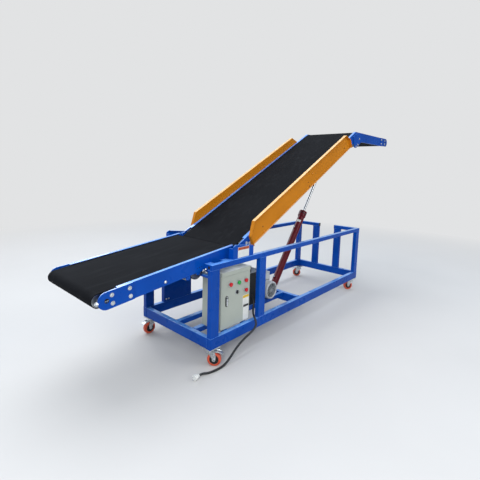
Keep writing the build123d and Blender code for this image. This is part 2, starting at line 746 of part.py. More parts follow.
def control_box():
    x0 = front_x + box_x0
    x1 = front_x + box_x1
    back = box_front_y + box_d
    box = block(x0, x1, box_front_y, back, rail_top, box_top)
    box -= block(x0 + box_t, x1 - box_t, box_front_y - 1, back - box_t, rail_top + box_t, box_top - box_t)
    box += block(x0, x1, box_front_y - hood_over, box_front_y + box_t, box_top - hood_h, box_top)
    hx = front_x + hinge_x
    box += block(hx - hinge_arm, x1, hinge_y - hinge_arm, box_front_y + box_t,
                 rail_top, rail_top + hinge_arm)
    pin_r, pin_depth = hinge_pin
    low_len = door_low_gap + pin_depth
    low_pin = Pos(hx, hinge_y, rail_top + low_len / 2) * Cylinder(pin_r, low_len)
    top_len = door_hood_gap + pin_depth
    top_pin = Pos(hx, hinge_y, door_z1 - pin_depth + top_len / 2) * Cylinder(pin_r, top_len)
    save("control_box", box + low_pin + top_pin)

    door = block(x0, x1, door_front_y, door_front_y + door_t, door_z0, door_z1)
    door = fillet(door.edges().filter_by(Axis.Z).sort_by(Axis.Y)[:2], door_round)
    door -= block(x0 + box_t, x1 - door_stile, door_front_y + box_t, door_front_y + door_t + 1,
                  door_z0 + box_t, door_z1 - box_t)
    for z in (door_z0 + pin_depth / 2, door_z1 - pin_depth / 2):
        door -= Pos(hx, hinge_y, z) * Cylinder(pin_r + hinge_play, pin_depth + 1)
    save("control_door", door)


def on_door(place, shape):
    """Place a shape on the door's face, from its infeed edge and down from its top edge."""
    return Pos(front_x + box_x0 + place[0], door_front_y, door_z1 - place[1]) * shape


def button(place):
    """A push button: bezel, stem and mushroom cap."""
    bezel_r, bezel_h = bezel
    cap_r, cap_t = cap
    head = rod_y(cap_r, -cap_out, cap_t - cap_out)
    rim = head.edges().filter_by(GeomType.CIRCLE).sort_by(Axis.Y)[0]
    shape = fillet(rim, cap_round) + rod_y(stem_r, cap_t - cap_out, 0) + rod_y(bezel_r, -bezel_h, 0)
    return on_door(place, shape)


def upright_slot(size):
    """An upright bar with round ends, standing off the door's face."""
    length, width, t = size
    return extrude(Plane.XZ * Rot(0, 0, 90) * SlotOverall(length, width), t)


def door_fittings():
    save("stop_buttons", [button(p) for p in stop_places])
    save("start_button", button(start_place))
    bezel_r, bezel_h = bezel
    lever_t, lever_len, lever_h = selector_lever
    switch = rod_y(bezel_r, -bezel_h, 0)
    lever = block(-lever_t / 2, lever_t / 2, -lever_h, 0, -lever_len / 2, lever_len / 2)
    switch += Rot(0, selector_turn, 0) * lever
    save("selector_switch", on_door(selector_place, switch))
    lock = upright_slot(lock_plate) + Pos(0, 0, -lock_handle_drop) * upright_slot(lock_handle)
    key_r, key_h, key_z = key_barrel
    slot_w, slot_len = key_slot
    lock += rod_y(key_r, -key_h, 0, 0, key_z)
    lock -= block(-slot_w / 2, slot_w / 2, -key_h - 1, -key_h / 2,
                  key_z - slot_len / 2, key_z + slot_len / 2)
    save("door_lock", on_door(lock_place, lock))


# Power pack

def motor():
    """Foot-mounted electric motor with cooling fins and a terminal box, along Y."""
    x = front_x + motor_x
    core = Circle(motor_core_r)
    fin = Rectangle(2 * motor_r, fin_t)
    profile = core + [Rot(0, 0, 180 * i / (fin_count / 2)) * fin for i in range(fin_count // 2)]
    y1 = motor_front_y + motor_len
    body = Pos(x, y1, motor_z) * extrude(Plane.XZ * profile, motor_len)
    body += rod_y(fan_r, motor_front_y, motor_front_y + shield_t, x, motor_z)
    length, width, t = foot_size
    z0 = rail_top + shelf_t
    middle = motor_front_y + motor_len / 2
    body += block(x - length / 2, x + length / 2, middle - width / 2, middle + width / 2, z0, z0 + t)
    body += block(x - foot_web, x + foot_web, middle - width / 2, middle + width / 2, z0, motor_z - foot_web)
    tx, ty, tz = terminal_box
    top = motor_z + motor_core_r - terminal_sink
    ty0 = motor_front_y + shield_t + terminal_back
    body += block(x - tx / 2, x + tx / 2, ty0, ty0 + ty, top, top + tz)
    save("motor", body)

    cover = rod_y(fan_r, motor_front_y - fan_len, motor_front_y)
    rim = cover.edges().filter_by(GeomType.CIRCLE).sort_by(Axis.Y)[0]
    cover = fillet(rim, fan_round)
    cover -= rod_y(fan_r - fan_wall, motor_front_y - fan_len + fan_round, motor_front_y + 1)
    cover -= rod_y(fan_r - fan_round, motor_front_y - fan_len + fan_wall, motor_front_y)
    slots = None
    for r, count in zip(grille_ring_r, grille_count):
        ring = PolarLocations(r, count) * Rectangle(*grille_slot)
        slots = Sketch() + ring if slots is None else slots + ring
    cover -= Pos(0, motor_front_y - fan_len + fan_wall + 1, 0) * extrude(Plane.XZ * slots, fan_wall + 2)
    save("fan_cover", Pos(x, 0, motor_z) * cover)

    bell_r, bell_len = bell_size
    pump = rod_y(bell_r, y1, y1 + bell_len, x, motor_z)
    px, py, pz = pump_size
    y2 = y1 + bell_len
    pump += block(x - px / 2, x + px / 2, y2, y2 + py, motor_z - pz / 2, motor_z + pz / 2)
    for dx in (-px / 4, px / 4):
        pump += Pos(x + dx, y2 + py / 2, motor_z + pz / 2 + valve_h / 2) * Cylinder(valve_r, valve_h)
    save("pump_block", pump)


def oil_tank():
    length, width, height = tank_size
    x0 = front_x + tank_x0
    z0 = rail_top + shelf_t
    tank = block(x0, x0 + length, tank_y0, tank_y0 + width, z0, z0 + height - tank_lid)
    tank = fillet(tank.edges().filter_by(Axis.Z), tank_round)
    tank += block(x0 - tank_lid, x0 + length + tank_lid, tank_y0 - tank_lid, tank_y0 + width + tank_lid,
                  z0 + height - tank_lid, z0 + height)
    filler_r, filler_h = filler
    filler_z = z0 + height + filler_h / 2
    tank += Pos(x0 + filler_x, tank_y0 + width / 2, filler_z) * Cylinder(filler_r, filler_h)
    save("oil_tank", tank)


def far_panel():
    x0 = front_x + panel_x0
    top = frame_top - top_rail_h
    x1 = front_x + far_post_x - rail_h / 2
    save("far_panel", block(x0, x1, rail_inner_y, rail_inner_y + panel_d, rail_top, top))


# Mains cord

def mains_cord():
    x1 = front_x + box_x1
    nut_r, nut_h = nut_size
    gland = rod_x(nut_r, x1, x1 + nut_h, gland_y, gland_z)
    tip = front_x + cord_route[0][0]
    cone = Cone(*gland_cone, tip - x1 - nut_h)
    gland += Pos((x1 + nut_h + tip) / 2, gland_y, gland_z) * Rot(0, 90, 0) * cone
    save("cord_gland", gland)

    points = [Vector(front_x + x, y, z) for x, y, z in cord_route]
    radii = []
    for a, b, c in zip(points, points[1:], points[2:]):
        turn = (b - a).get_angle(c - b)
        shorter = min((b - a).length, (c - b).length)
        radii.append(0.45 * shorter / math.tan(math.radians(turn) / 2))
    print("cord radii:", " ".join(f"{r:.0f}" for r in radii))
    path = FilletPolyline(*points, radius=radii)
    start = Plane(origin=path @ 0, z_dir=path % 0)
    tube = sweep(start * Circle(cord_d / 2), path=path)
    section = math.pi * (cord_d / 2) ** 2
    print(f"cord: length {path.length:.1f} mm, volume ratio {tube.volume / (section * path.length):.4f}")
    save("mains_cord", tube)

    length, width, height = plug_size
    along = path % 1
    heading = math.degrees(math.atan2(along.Y, along.X))
    plug = Pos(length / 2, 0, height / 2) * Box(length, width, height)
    plug = fillet(plug.edges().filter_by(Axis.X), plug_round)
    end = points[-1]
    save("mains_plug", Pos(end.X, end.Y, 0) * Rot(0, 0, heading) * plug)


chassis()
sub_frame()
casters()
infeed()
hinge_stands()
boom_frames()
boom_belt()
side_guards()
cylinder_hanger()
lift_cylinder()
control_box()
door_fittings()
motor()
oil_tank()
far_panel()
mains_cord()
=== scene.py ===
# %% [markdown]
# A mobile belt conveyor, dressed for the camera.
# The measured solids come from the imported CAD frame. This lesson adds what a camera sees on them:
# paint, rubber, zinc and chrome, then bolts, weld beads, buttons and blank labels.
# Numbers are in millimetres unless a comment says otherwise. The last step of each piece turns
# them into metres, which is what Blender counts in.

# %% Load the frame
import math

import bmesh
import bpy
from mathutils import Matrix, Vector


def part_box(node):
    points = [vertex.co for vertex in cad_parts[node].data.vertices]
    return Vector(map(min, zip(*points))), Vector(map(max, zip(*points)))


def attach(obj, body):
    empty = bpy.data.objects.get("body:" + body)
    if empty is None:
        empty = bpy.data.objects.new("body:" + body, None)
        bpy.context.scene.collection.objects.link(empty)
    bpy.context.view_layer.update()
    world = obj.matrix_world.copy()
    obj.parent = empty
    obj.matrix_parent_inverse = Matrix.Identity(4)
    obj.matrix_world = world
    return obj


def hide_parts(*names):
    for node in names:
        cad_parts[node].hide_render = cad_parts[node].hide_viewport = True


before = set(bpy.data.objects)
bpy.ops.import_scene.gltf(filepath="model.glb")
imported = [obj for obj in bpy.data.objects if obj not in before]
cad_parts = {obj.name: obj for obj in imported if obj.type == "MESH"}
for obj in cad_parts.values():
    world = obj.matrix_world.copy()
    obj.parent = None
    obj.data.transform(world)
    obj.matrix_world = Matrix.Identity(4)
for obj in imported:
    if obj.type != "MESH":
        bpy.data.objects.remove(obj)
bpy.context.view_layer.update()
MM = 0.001

# %% [markdown]
# The machine has three working frames: the chassis, the sloping infeed conveyor, and the boom with
# its level head. Every place could be worked out in the chassis frame, but then each bolt on a
# slope needs its own sines and cosines. A matrix for each frame does that once, and a bolt is
# placed by the numbers of its own drawing: along the belt, across it, and above it.

# %% Working frames
chassis_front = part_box("bottom_side_rails")[0].x / MM
infeed_hole = (-695, 667)
infeed_angle = math.radians(6.4)
boom_pivot = (383, 786)
boom_angle = math.radians(27.7)
incline_len = 2190
head_len = 936
elbow = (boom_pivot[0] + incline_len * math.cos(boom_angle),
         boom_pivot[1] + incline_len * math.sin(boom_angle))


def at(x, y, z):
    """A place on the chassis: x from its front end."""
    return Matrix.Translation((chassis_front + x, y, z))


on_chassis = at(0, 0, 0)
on_feed = at(infeed_hole[0], 0, infeed_hole[1]) @ Matrix.Rotation(-infeed_angle, 4, "Y")
on_boom = at(boom_pivot[0], 0, boom_pivot[1]) @ Matrix.Rotation(-boom_angle, 4, "Y")
on_head = at(elbow[0], 0, elbow[1])
print("chassis front at", round(chassis_front, 1), "mm")

# %% [markdown]
# The camera stands where the photograph was taken from. It could be set by eye, but its place,
# heading and lens were worked out from the edges of the machine in the photograph instead, so the
# render can be laid over it. The lens shift only frames the picture.

# %% Camera
camera_place = Vector((-1552.77 + chassis_front, -2031.21, 1380.51)) * MM
camera_yaw = math.radians(-48.393)
camera_pitch = math.radians(7.089)
camera_roll = math.radians(1.609)
ahead = Vector((-math.sin(camera_yaw) * math.cos(camera_pitch),
                math.cos(camera_yaw) * math.cos(camera_pitch), -math.sin(camera_pitch)))
level = Vector((math.cos(camera_yaw), math.sin(camera_yaw), 0))
upward = level.cross(ahead)
side = math.cos(camera_roll) * level + math.sin(camera_roll) * upward
top = math.cos(camera_roll) * upward - math.sin(camera_roll) * level
camera = bpy.data.objects.new("camera", bpy.data.cameras.new("camera"))
bpy.context.scene.collection.objects.link(camera)
camera.matrix_world = (Matrix.Translation(camera_place)
                       @ Matrix((side, top, -ahead)).transposed().to_4x4())
camera.data.sensor_width = 36
camera.data.lens = 25.856
camera.data.shift_x = -0.0010
camera.data.shift_y = -0.0554
bpy.context.scene.camera = camera
print("camera at", [round(v, 3) for v in camera_place])

# %% [markdown]
# Colours are written as sRGB hex, the way a paint chart or an eyedropper gives them. Light adds up
# in linear values, so one function turns the one into the other. One more function adds a node
# with its settings and links, so that each finish below reads as a recipe.

# %% Colour and node helpers
def linear(code):
    """An sRGB hex colour as linear red, green, blue and alpha."""
    parts = [int(code[i:i + 2], 16) / 255 for i in (0, 2, 4)]
    return [p / 12.92 if p <= 0.04045 else ((p + 0.055) / 1.055) ** 2.4 for p in parts] + [1.0]


def add(tree, kind, inputs=None, out=None, **settings):
    """Add one node, set it up, give its inputs values or links, and hand back it or an output."""
    node = tree.nodes.new(kind)
    for key, value in settings.items():
        setattr(node, key, value)
    for key, value in (inputs or {}).items():
        if isinstance(value, bpy.types.NodeSocket):
            tree.links.new(value, node.inputs[key])
        else:
            node.inputs[key].default_value = value
    return node if out is None else node.outputs[out]


def blank(name):
    """A new material with its shader, and the place on the object that its patterns use."""
    material = bpy.data.materials.new(name)
    material.use_nodes = True
    tree = material.node_tree
    tree.nodes.clear()
    shader = add(tree, "ShaderNodeBsdfPrincipled")
    add(tree, "ShaderNodeOutputMaterial", {"Surface": shader.outputs["BSDF"]})
    place = add(tree, "ShaderNodeTexCoord", out="Object")
    return material, tree, shader, place


print("mid grey 808080 is", round(linear("808080")[0], 3), "in linear light")

# %% [markdown]
# No painted or moulded surface is one flat colour. The unevenness could come from a photograph,
# but a random pattern has no edges, fits any size and stays sharp close up. Its features have a
# size in millimetres, measured on the real surface, and a range of it is stretched over the
# values wanted. A Mix node gives its colour sockets the same names as its number sockets, so
# those go by their place in the list.

# %% Patterns
SHARE, FIRST, SECOND, MIXED = 0, 6, 7, 2


def per(size):
    """Texture scale for features of this many millimetres."""
    return 1 / (size * MM)


def cloud(tree, place, size, detail=2.0, drawn=(1, 1, 1)):
    """A soft random pattern with features of a size, drawn out along an axis if wanted."""
    stretched = add(tree, "ShaderNodeMapping", {"Vector": place, "Scale": drawn}, "Vector")
    return add(tree, "ShaderNodeTexNoise",
               {"Vector": stretched, "Scale": per(size), "Detail": detail}, "Fac")


def wander(tree, place, size, detail, seen, low=0.0, high=1.0, drawn=(1, 1, 1)):
    """A value that wanders from low to high: the seen range of a cloud, stretched over them."""
    return add(tree, "ShaderNodeMapRange",
               {"Value": cloud(tree, place, size, detail, drawn), "From Min": seen[0],
                "From Max": seen[1], "To Min": low, "To Max": high}, "Result")


def relief(tree, shader, layers):
    """Chain bumps, each a pattern and its depth in millimetres, into the shader's normal."""
    normal = None
    for pattern, depth in layers:
        inputs = {"Height": pattern, "Strength": 1.0, "Distance": depth * MM}
        if normal is not None:
            inputs["Normal"] = normal
        normal = add(tree, "ShaderNodeBump", inputs, "Normal")
    tree.links.new(normal, shader.inputs["Normal"])


broad = (0.35, 0.65)
wide = (0.3, 0.7)
print("a cloud of 60 mm has a texture scale of", round(per(60), 2))

# %% [markdown]
# The frames are welded steel tube with a gloss alkyd enamel, sprayed thick. Such paint has an IOR
# near 1.5 and a clear top layer. To the eye it shows a faint orange peel a few millimetres
# across, mirrors the sky on its top faces, and gathers a pale film of dust there. The top faces are
# also painted paler in the sky's colour: painted sky light, a painted reflection mixed with the
# dust. A mask for both could be painted by hand, but the face's own tilt finds the top faces of
# every piece alike.
# A studio floor is far paler than the ground where such a machine works, and upright faces would
# mirror it as a white haze, so their gloss is held back and the faces that look up keep more.

# %% Enamel paint
def enamel(name, colour, shade, sky_and_dust, rough, sky_and_dust_share=0.3, coat=0.05, upright=0.08, top_coat=0.6):
    """Sprayed enamel: colour that drifts to a shade, dust and painted sky light on top faces, orange peel.
    """
    material, tree, shader, place = blank(name)
    normal = add(tree, "ShaderNodeNewGeometry", out="Normal")
    tilt = add(tree, "ShaderNodeSeparateXYZ", {"Vector": normal}, "Z")
    # The pale colour that the tilt mixes into top faces is painted sky light, a painted highlight, with a
    # film of dust in it.
    by_tilt = {}
    for what, start, end, on_upright, on_top in (("sky_and_dust", 0.4, 1.0, 0.0, sky_and_dust_share),
                                                 ("gloss", 0.15, 0.85, upright, 0.4),
                                                 ("coat", 0.5, 0.95, coat, top_coat)):
        by_tilt[what] = add(tree, "ShaderNodeMapRange",
                            {"Value": tilt, "From Min": start, "From Max": end,
                             "To Min": on_upright, "To Max": on_top}, "Result")
    paint = add(tree, "ShaderNodeMix",
                {SHARE: wander(tree, place, 260, 3, broad), FIRST: linear(colour),
                 SECOND: linear(shade)}, MIXED, data_type="RGBA")
    sky_and_dust_mask = add(tree, "ShaderNodeMath",
               {0: by_tilt["sky_and_dust"], 1: wander(tree, place, 60, 4, broad, 0.6, 1.0)}, "Value",
               operation="MULTIPLY")
    with_sky_and_dust = add(tree, "ShaderNodeMix", {SHARE: sky_and_dust_mask, FIRST: paint, SECOND: linear(sky_and_dust)}, MIXED,
                data_type="RGBA")
    tree.links.new(with_sky_and_dust, shader.inputs["Base Color"])
    tree.links.new(wander(tree, place, 70, 4, wide, rough - 0.03, rough + 0.06),
                   shader.inputs["Roughness"])
    tree.links.new(by_tilt["gloss"], shader.inputs["Specular IOR Level"])
    tree.links.new(by_tilt["coat"], shader.inputs["Coat Weight"])
    shader.inputs["Coat Roughness"].default_value = 0.12
    relief(tree, shader, ((cloud(tree, place, 9, 1), 0.012), (cloud(tree, place, 90, 1), 0.05)))
    return material


print("orange peel 9 mm across has a texture scale of", round(per(9), 1))

# %% [markdown]
# Six paints use it. The frames are gloss blue, with the palest and shiniest tops. The guards have
# the same kind of paint in yellow ochre, flatter. The control box is a semi-matt grey baked
# enamel, the cylinder a dark maroon primer, the tank a satin black, and the motor's sheet parts
# an aluminium paint. Each has the colour measured on a lit upright face and a slightly darker
# shade of it to drift to. The third colour is the pale one of its top faces: painted sky light
# with dust, which on the blue frames is nearly all painted sky.

# %% The six paints
# The third colour of each paint is the painted sky light and dust of its top faces.
blue_enamel = enamel("blue_enamel_on_steel", "0447A4", "023F96", "70B2FF", 0.28, 0.8, 0.08,
                     top_coat=0.8)
ochre_enamel = enamel("ochre_enamel_on_sheet", "C47A18", "BC7414", "F4D79A", 0.42, 0.75,
                      top_coat=0.1)
grey_enamel = enamel("grey_enamel_on_sheet", "A9AFA6", "A3A9A0", "F2F2E8", 0.44, 0.6)
maroon_enamel = enamel("maroon_enamel_on_tube", "660E1D", "580A17", "8A6468", 0.34, 0.05,
                       upright=0.2)
black_enamel = enamel("black_enamel_on_steel", "24282B", "1C1F22", "5A5C5C", 0.40)
silver_enamel = enamel("aluminium_paint_on_sheet", "C4C8CB", "B8BCC0", "D6D8D8", 0.36)
print("enamels:", blue_enamel.name, ochre_enamel.name, grey_enamel.name)

# %% [markdown]
# The belts are black PVC on a woven polyester carcass. It is rough and nearly without gloss, the
# cloth prints through as a fine weave, and goods leave paler scuffs along it. Threads could be
# modelled, but there are some hundred thousand of them, so two crossed waves stand for them as
# bump. The real weave is about 1.5 mm apart, too fine to show here, so it is drawn at 8 mm.

# %% Belt
thread_pitch = 8


def belting():
    """Woven black PVC belting with scuffs drawn out along the belt."""
    material, tree, shader, place = blank("pvc_belting_woven")
    base = add(tree, "ShaderNodeMix",
               {SHARE: wander(tree, place, 300, 3, wide), FIRST: linear("101114"),
                SECOND: linear("16171A")}, MIXED, data_type="RGBA")
    scuff = wander(tree, place, 40, 4, (0.52, 0.78), 0.0, 0.22, (0.12, 1, 1))
    scuffed = add(tree, "ShaderNodeMix", {SHARE: scuff, FIRST: base, SECOND: linear("323437")},
                  MIXED, data_type="RGBA")
    tree.links.new(scuffed, shader.inputs["Base Color"])
    # The wave texture has 20 radians to the length that its scale gives.
    waves = per(thread_pitch) * 2 * math.pi / 20
    warp, weft = [add(tree, "ShaderNodeTexWave", {"Vector": place, "Scale": waves}, "Fac",
                      bands_direction=axis) for axis in ("X", "Y")]
    threads = add(tree, "ShaderNodeMath", {0: warp, 1: weft}, "Value", operation="MULTIPLY")
    shader.inputs["Roughness"].default_value = 0.8
    shader.inputs["Specular IOR Level"].default_value = 0.05
    relief(tree, shader, ((threads, 0.15), (cloud(tree, place, 8, 3), 0.06)))
    return material


black_belting = belting()
print("belt:", black_belting.name, "with threads", thread_pitch, "mm apart")

# %% [markdown]
# Bare metals keep the shader's own IOR and are fully metallic, and what tells them apart is their
# tint, their roughness and the direction of their grain. Zinc plating on bolts, forks and pins is
# bright with a faint bluish mottle. The rollers are turned, so their grain runs round them. The
# rod is hard chrome, ground until it is nearly a mirror, and the motor is cast aluminium with a
# sandy grain of about a millimetre.

# %% Metals
def metal(name, colour, shade, rough, spread, grain, depth, drawn=(1, 1, 1), bare=1.0):
    """A bare metal whose tint and roughness drift, with a fine grain."""
    material, tree, shader, place = blank(name)
    shader.inputs["Metallic"].default_value = bare
    tint = add(tree, "ShaderNodeMix",
               {SHARE: wander(tree, place, 35, 3, broad), FIRST: linear(colour),
                SECOND: linear(shade)}, MIXED, data_type="RGBA")
    tree.links.new(tint, shader.inputs["Base Color"])
    tree.links.new(wander(tree, place, 12, 4, wide, rough, rough + spread, drawn),
                   shader.inputs["Roughness"])
    relief(tree, shader, ((cloud(tree, place, grain, 2, drawn), depth),))
    return material


zinc = metal("zinc_plated_steel", "D2D6D8", "B8BDC1", 0.24, 0.12, 1.5, 0.03, bare=0.8)
roller_steel = metal("turned_steel_tube", "9C9FA1", "888B8E", 0.30, 0.15, 1.2, 0.03, (1, 0.1, 1))
chrome = metal("hard_chrome_ground", "B2B5B8", "A6A9AD", 0.10, 0.05, 0.8, 0.005)
cast_aluminium = metal("cast_aluminium", "B6B9BB", "A2A5A8", 0.42, 0.16, 1.1, 0.12)
print("metals:", zinc.name, roller_steel.name, chrome.name, cast_aluminium.name)

# %% [markdown]
# The slider bed under each belt is hot-dip galvanised sheet, gone dull. Its zinc froze in flat
# crystals 10 to 20 mm across, each a slightly different grey. A cell pattern draws just that: one
# tone for each cell, with a hard edge where two crystals meet. Both greys are far darker than zinc:
# that is painted shade, for the shadow that falls on the bed between the belt and its side frames.

# %% Galvanised sheet
crystal = 15


def spangle():
    """Dull hot-dip galvanised sheet, darkened as painted shade: flat crystals of slightly different greys.
    """
    material, tree, shader, place = blank("galvanised_sheet_painted_shade")
    shader.inputs["Metallic"].default_value = 1.0
    cells = add(tree, "ShaderNodeTexVoronoi", {"Vector": place, "Scale": per(crystal)}, "Color")
    tone = add(tree, "ShaderNodeSeparateColor", {"Color": cells}, "Red")
    # Both greys are darkened: painted shade on the bed beside the belt.
    greys_in_painted_shade = add(tree, "ShaderNodeMix",
                {SHARE: tone, FIRST: linear("54585C"), SECOND: linear("666A6E")}, MIXED,
                data_type="RGBA")
    dullness = add(tree, "ShaderNodeMapRange", {"Value": tone, "To Min": 0.34, "To Max": 0.5}, "Result")
    tree.links.new(greys_in_painted_shade, shader.inputs["Base Color"])
    tree.links.new(dullness, shader.inputs["Roughness"])
    relief(tree, shader, ((cloud(tree, place, 30, 2), 0.15),))
    return material


galvanised = spangle()
print("slider beds:", galvanised.name, "with crystals of", crystal, "mm")

# %% [markdown]
# Moulded parts carry the spark-eroded grain of their mould, about half a millimetre, drawn here at
# one so that it shows. Nylon and ABS are satin. The polyurethane treads are cast, soft, and let a
# little light in, which warms their edges. Acrylic button caps are polished and glossy, so their
# grain is all but gone. Their IOR of about 1.5 is the shader's own.

# %% Plastics and rubbers
def moulded(name, colour, shade, rough, grain=1.0, depth=0.03, soft=0.0):
    """Moulded plastic or rubber with a mould grain."""
    material, tree, shader, place = blank(name)
    tint = add(tree, "ShaderNodeMix",
               {SHARE: wander(tree, place, 30, 3, broad), FIRST: linear(colour),
                SECOND: linear(shade)}, MIXED, data_type="RGBA")
    tree.links.new(tint, shader.inputs["Base Color"])
    tree.links.new(wander(tree, place, 9, 3, wide, rough - 0.05, rough + 0.06),
                   shader.inputs["Roughness"])
    if soft:
        shader.inputs["Subsurface Weight"].default_value = soft
        shader.inputs["Subsurface Scale"].default_value = 4 * MM
    relief(tree, shader, ((cloud(tree, place, grain, 2), depth),))
    return material


black_plastic = moulded("black_nylon_moulded", "1B1D1F", "222427", 0.5)
grey_plastic = moulded("grey_abs_moulded", "8E9396", "858A8D", 0.45)
polyurethane = moulded("orange_polyurethane_cast", "D0573A", "BF4C31", 0.42, 1.5, 0.04, 0.1)
red_cap = moulded("red_acrylic_cap", "C4101E", "B40D1A", 0.16, 3, 0.004)
green_cap = moulded("green_acrylic_cap", "119A3E", "0E8A36", 0.16, 3, 0.004)
white_plastic = moulded("white_pvc_moulded", "E6E7E3", "DEDFDB", 0.36)
cord_rubber = moulded("black_rubber_sheath", "17181B", "1F2022", 0.55, 1.2, 0.05)
print("plastics:", black_plastic.name, polyurethane.name, red_cap.name, cord_rubber.name)

# %% [markdown]
# Labels are vinyl film with a coloured band on a white field. The film is smooth and follows the
# waves of the sheet under it, so its bump is broad and shallow. Nothing is printed on them. Holes
# that are too small to cut are shown by a matt near-black disc, because a drilled hole in a box
# section gives back almost no light.

# %% Label film and hole black
label_white = moulded("white_vinyl_label", "DADCD8", "D2D4D0", 0.4, 20, 0.01)
label_rust = moulded("rust_printed_band", "A6461F", "983D19", 0.4, 20, 0.01)
label_yellow = moulded("yellow_printed_band", "D8B21E", "CFA818", 0.4, 20, 0.01)
label_dark = moulded("dark_printed_band", "2A2C30", "222428", 0.4, 20, 0.01)
hole_dark = moulded("dark_hole", "06080C", "090B10", 0.9, 2, 0.01)
print("materials so far:", len(bpy.data.materials))

# %% [markdown]
# The CAD solids that already have the right shape stay as they are, and only take a finish. A
# perfectly sharp edge never catches light, while a folded or sawn one has a radius of about a
# millimetre that does. A bevel modifier adds it to sheet and plate without touching the solid.

# %% Finishes on the CAD solids
finishes = {
    blue_enamel: ["bottom_side_rails", "cross_rails", "sub_frame_rails", "box_supports", "posts",
                  "upper_side_rails", "rear_top_rails", "power_pack_shelf", "hinge_stands",
                  "infeed_side_frames", "infeed_tail_plates", "infeed_brackets", "far_panel",
                  "cylinder_base", "boom_side_frames", "boom_head_frames", "boom_end_plates",
                  "elbow_plates", "cylinder_hanger"],
    ochre_enamel: ["side_guards"],
    grey_enamel: ["control_box", "control_door"],
    maroon_enamel: ["cylinder_barrel"],
    black_enamel: ["oil_tank", "pump_block"],
    black_belting: ["infeed_belt", "boom_belt"],
    galvanised: ["infeed_bed", "boom_bed"],
    roller_steel: ["infeed_rollers", "boom_rollers"],
    zinc: ["caster_plates", "pivot_pins"],
    cast_aluminium: ["motor"],
    chrome: ["cylinder_rod"],
    black_plastic: ["rail_end_caps"],
}
rounded_nodes = {"side_guards": 0.8, "control_door": 0.6, "control_box": 0.8, "hinge_stands": 0.8,
                 "infeed_side_frames": 0.8, "infeed_tail_plates": 0.8, "boom_side_frames": 0.8,
                 "boom_head_frames": 0.8, "boom_end_plates": 0.8, "elbow_plates": 0.8,
                 "cylinder_hanger": 1.2, "infeed_brackets": 1.0, "far_panel": 1.5,
                 "power_pack_shelf": 0.8, "caster_plates": 1.0, "oil_tank": 1.0, "pump_block": 1.0}


def round_edges(obj, width):
    """Round the edges of an object that are sharper than a fold, with a bevel modifier."""
    edge = obj.modifiers.new("edge", "BEVEL")
    edge.width = width * MM
    edge.segments = 2
    edge.limit_method = "ANGLE"
    edge.angle_limit = math.radians(40)


for finish, names in finishes.items():
    for name in names:
        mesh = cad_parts[name].data
        mesh.materials.clear()
        mesh.materials.append(finish)
for name, width in rounded_nodes.items():
    round_edges(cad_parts[name], width)
print("finished CAD nodes:", sum(len(names) for names in finishes.values()))

# %% [markdown]
# Small parts could be made by hand in the viewport. They are turned, sawn or bent things, though,
# and a few numbers each describe them fully, so mesh helpers build them the way a workshop does:
# turn spins an outline round an axis, and slab cuts one out of plate. An outline with rounded
# corners serves most plates.

# %% Turned and flat parts
def aim(point, direction):
    """A place whose local Z looks along a direction."""
    turn_to = Vector(direction).to_track_quat("Z", "Y").to_matrix().to_4x4()
    return Matrix.Translation(point) @ turn_to


def turn(bm, profile, place, steps=32):
    """Revolve (radius, height) points round the local Z axis."""
    rings = []
    for radius, height in profile:
        count = 1 if radius == 0 else steps
        angles = [2 * math.pi * k / steps for k in range(count)]
        rings.append([bm.verts.new(place @ Vector((radius * math.cos(a), radius * math.sin(a), height)))
                      for a in angles])
    for low, high in zip(rings, rings[1:]):
        for k in range(steps):
            n = (k + 1) % steps
            corners = [low[k % len(low)], low[n % len(low)], high[n % len(high)], high[k % len(high)]]
            corners = list(dict.fromkeys(corners))
            if len(corners) > 2:
                bm.faces.new(corners)


def slab(bm, outline, thickness, place):
    """A flat plate: an outline in local X and Y, thick along local Z."""
    low = [bm.verts.new(place @ Vector((x, y, 0))) for x, y in outline]
    high = [bm.verts.new(place @ Vector((x, y, thickness))) for x, y in outline]
    bm.faces.new(low[::-1])
    bm.faces.new(high)
    for k in range(len(low)):
        n = (k + 1) % len(low)
        bm.faces.new((low[k], low[n], high[n], high[k]))


def rounded(width, height, radius, steps=6):
    """Outline of a rectangle with rounded corners, about its middle."""
    points = []
    for quarter, (sx, sy) in enumerate(((1, 1), (-1, 1), (-1, -1), (1, -1))):
        for k in range(steps + 1):
            angle = math.pi / 2 * (quarter + k / steps)
            points.append((sx * (width / 2 - radius) + radius * math.cos(angle),
                           sy * (height / 2 - radius) + radius * math.sin(angle)))
    return points


print("a rounded outline has", len(rounded(10, 10, 1)), "points")

# %% [markdown]
# A hexagon bolt head is a short turned part with six sides: its corners stand further out than its
# flats, and a chamfer takes their tips off. Under it lies a plain washer with softened rims. Bolts
# are named by their width across flats, as on a spanner: 13 for M8, 16 or 17 for M10.

# %% Bolt heads
def bolt(bm, place, flats=13, head=5.3, washer=True, lift=0.0):
    """A hexagon bolt head on its washer."""
    base = lift
    if washer:
        turn(bm, ((0, base), (flats * 0.75, base), (flats * 0.78, base + 0.3),
                  (flats * 0.78, base + 1.3), (flats * 0.73, base + 1.6), (0, base + 1.6)), place, 24)
        base += 1.5
    corner = flats / 2 / math.cos(math.pi / 6)
    turn(bm, ((0, base), (corner, base), (corner, base + head - 1.0), (corner - 1.1, base + head),
              (0, base + head)), place, 6)


def both(y):
    """A y value and its mirror, with the direction that looks outward."""
    return ((-abs(y), -1), (abs(y), 1))


print("an M8 head is", round(13 / math.cos(math.pi / 6), 1), "mm over its corners")

# %% [markdown]
# A weld bead follows the joint between two tubes. A bevelled curve could draw it, but it would be
# as smooth as wire, while an arc leaves a ripple every 3 mm or so. The bead is swept ring by ring
# along its path instead, with every second ring a little thicker than its neighbours.

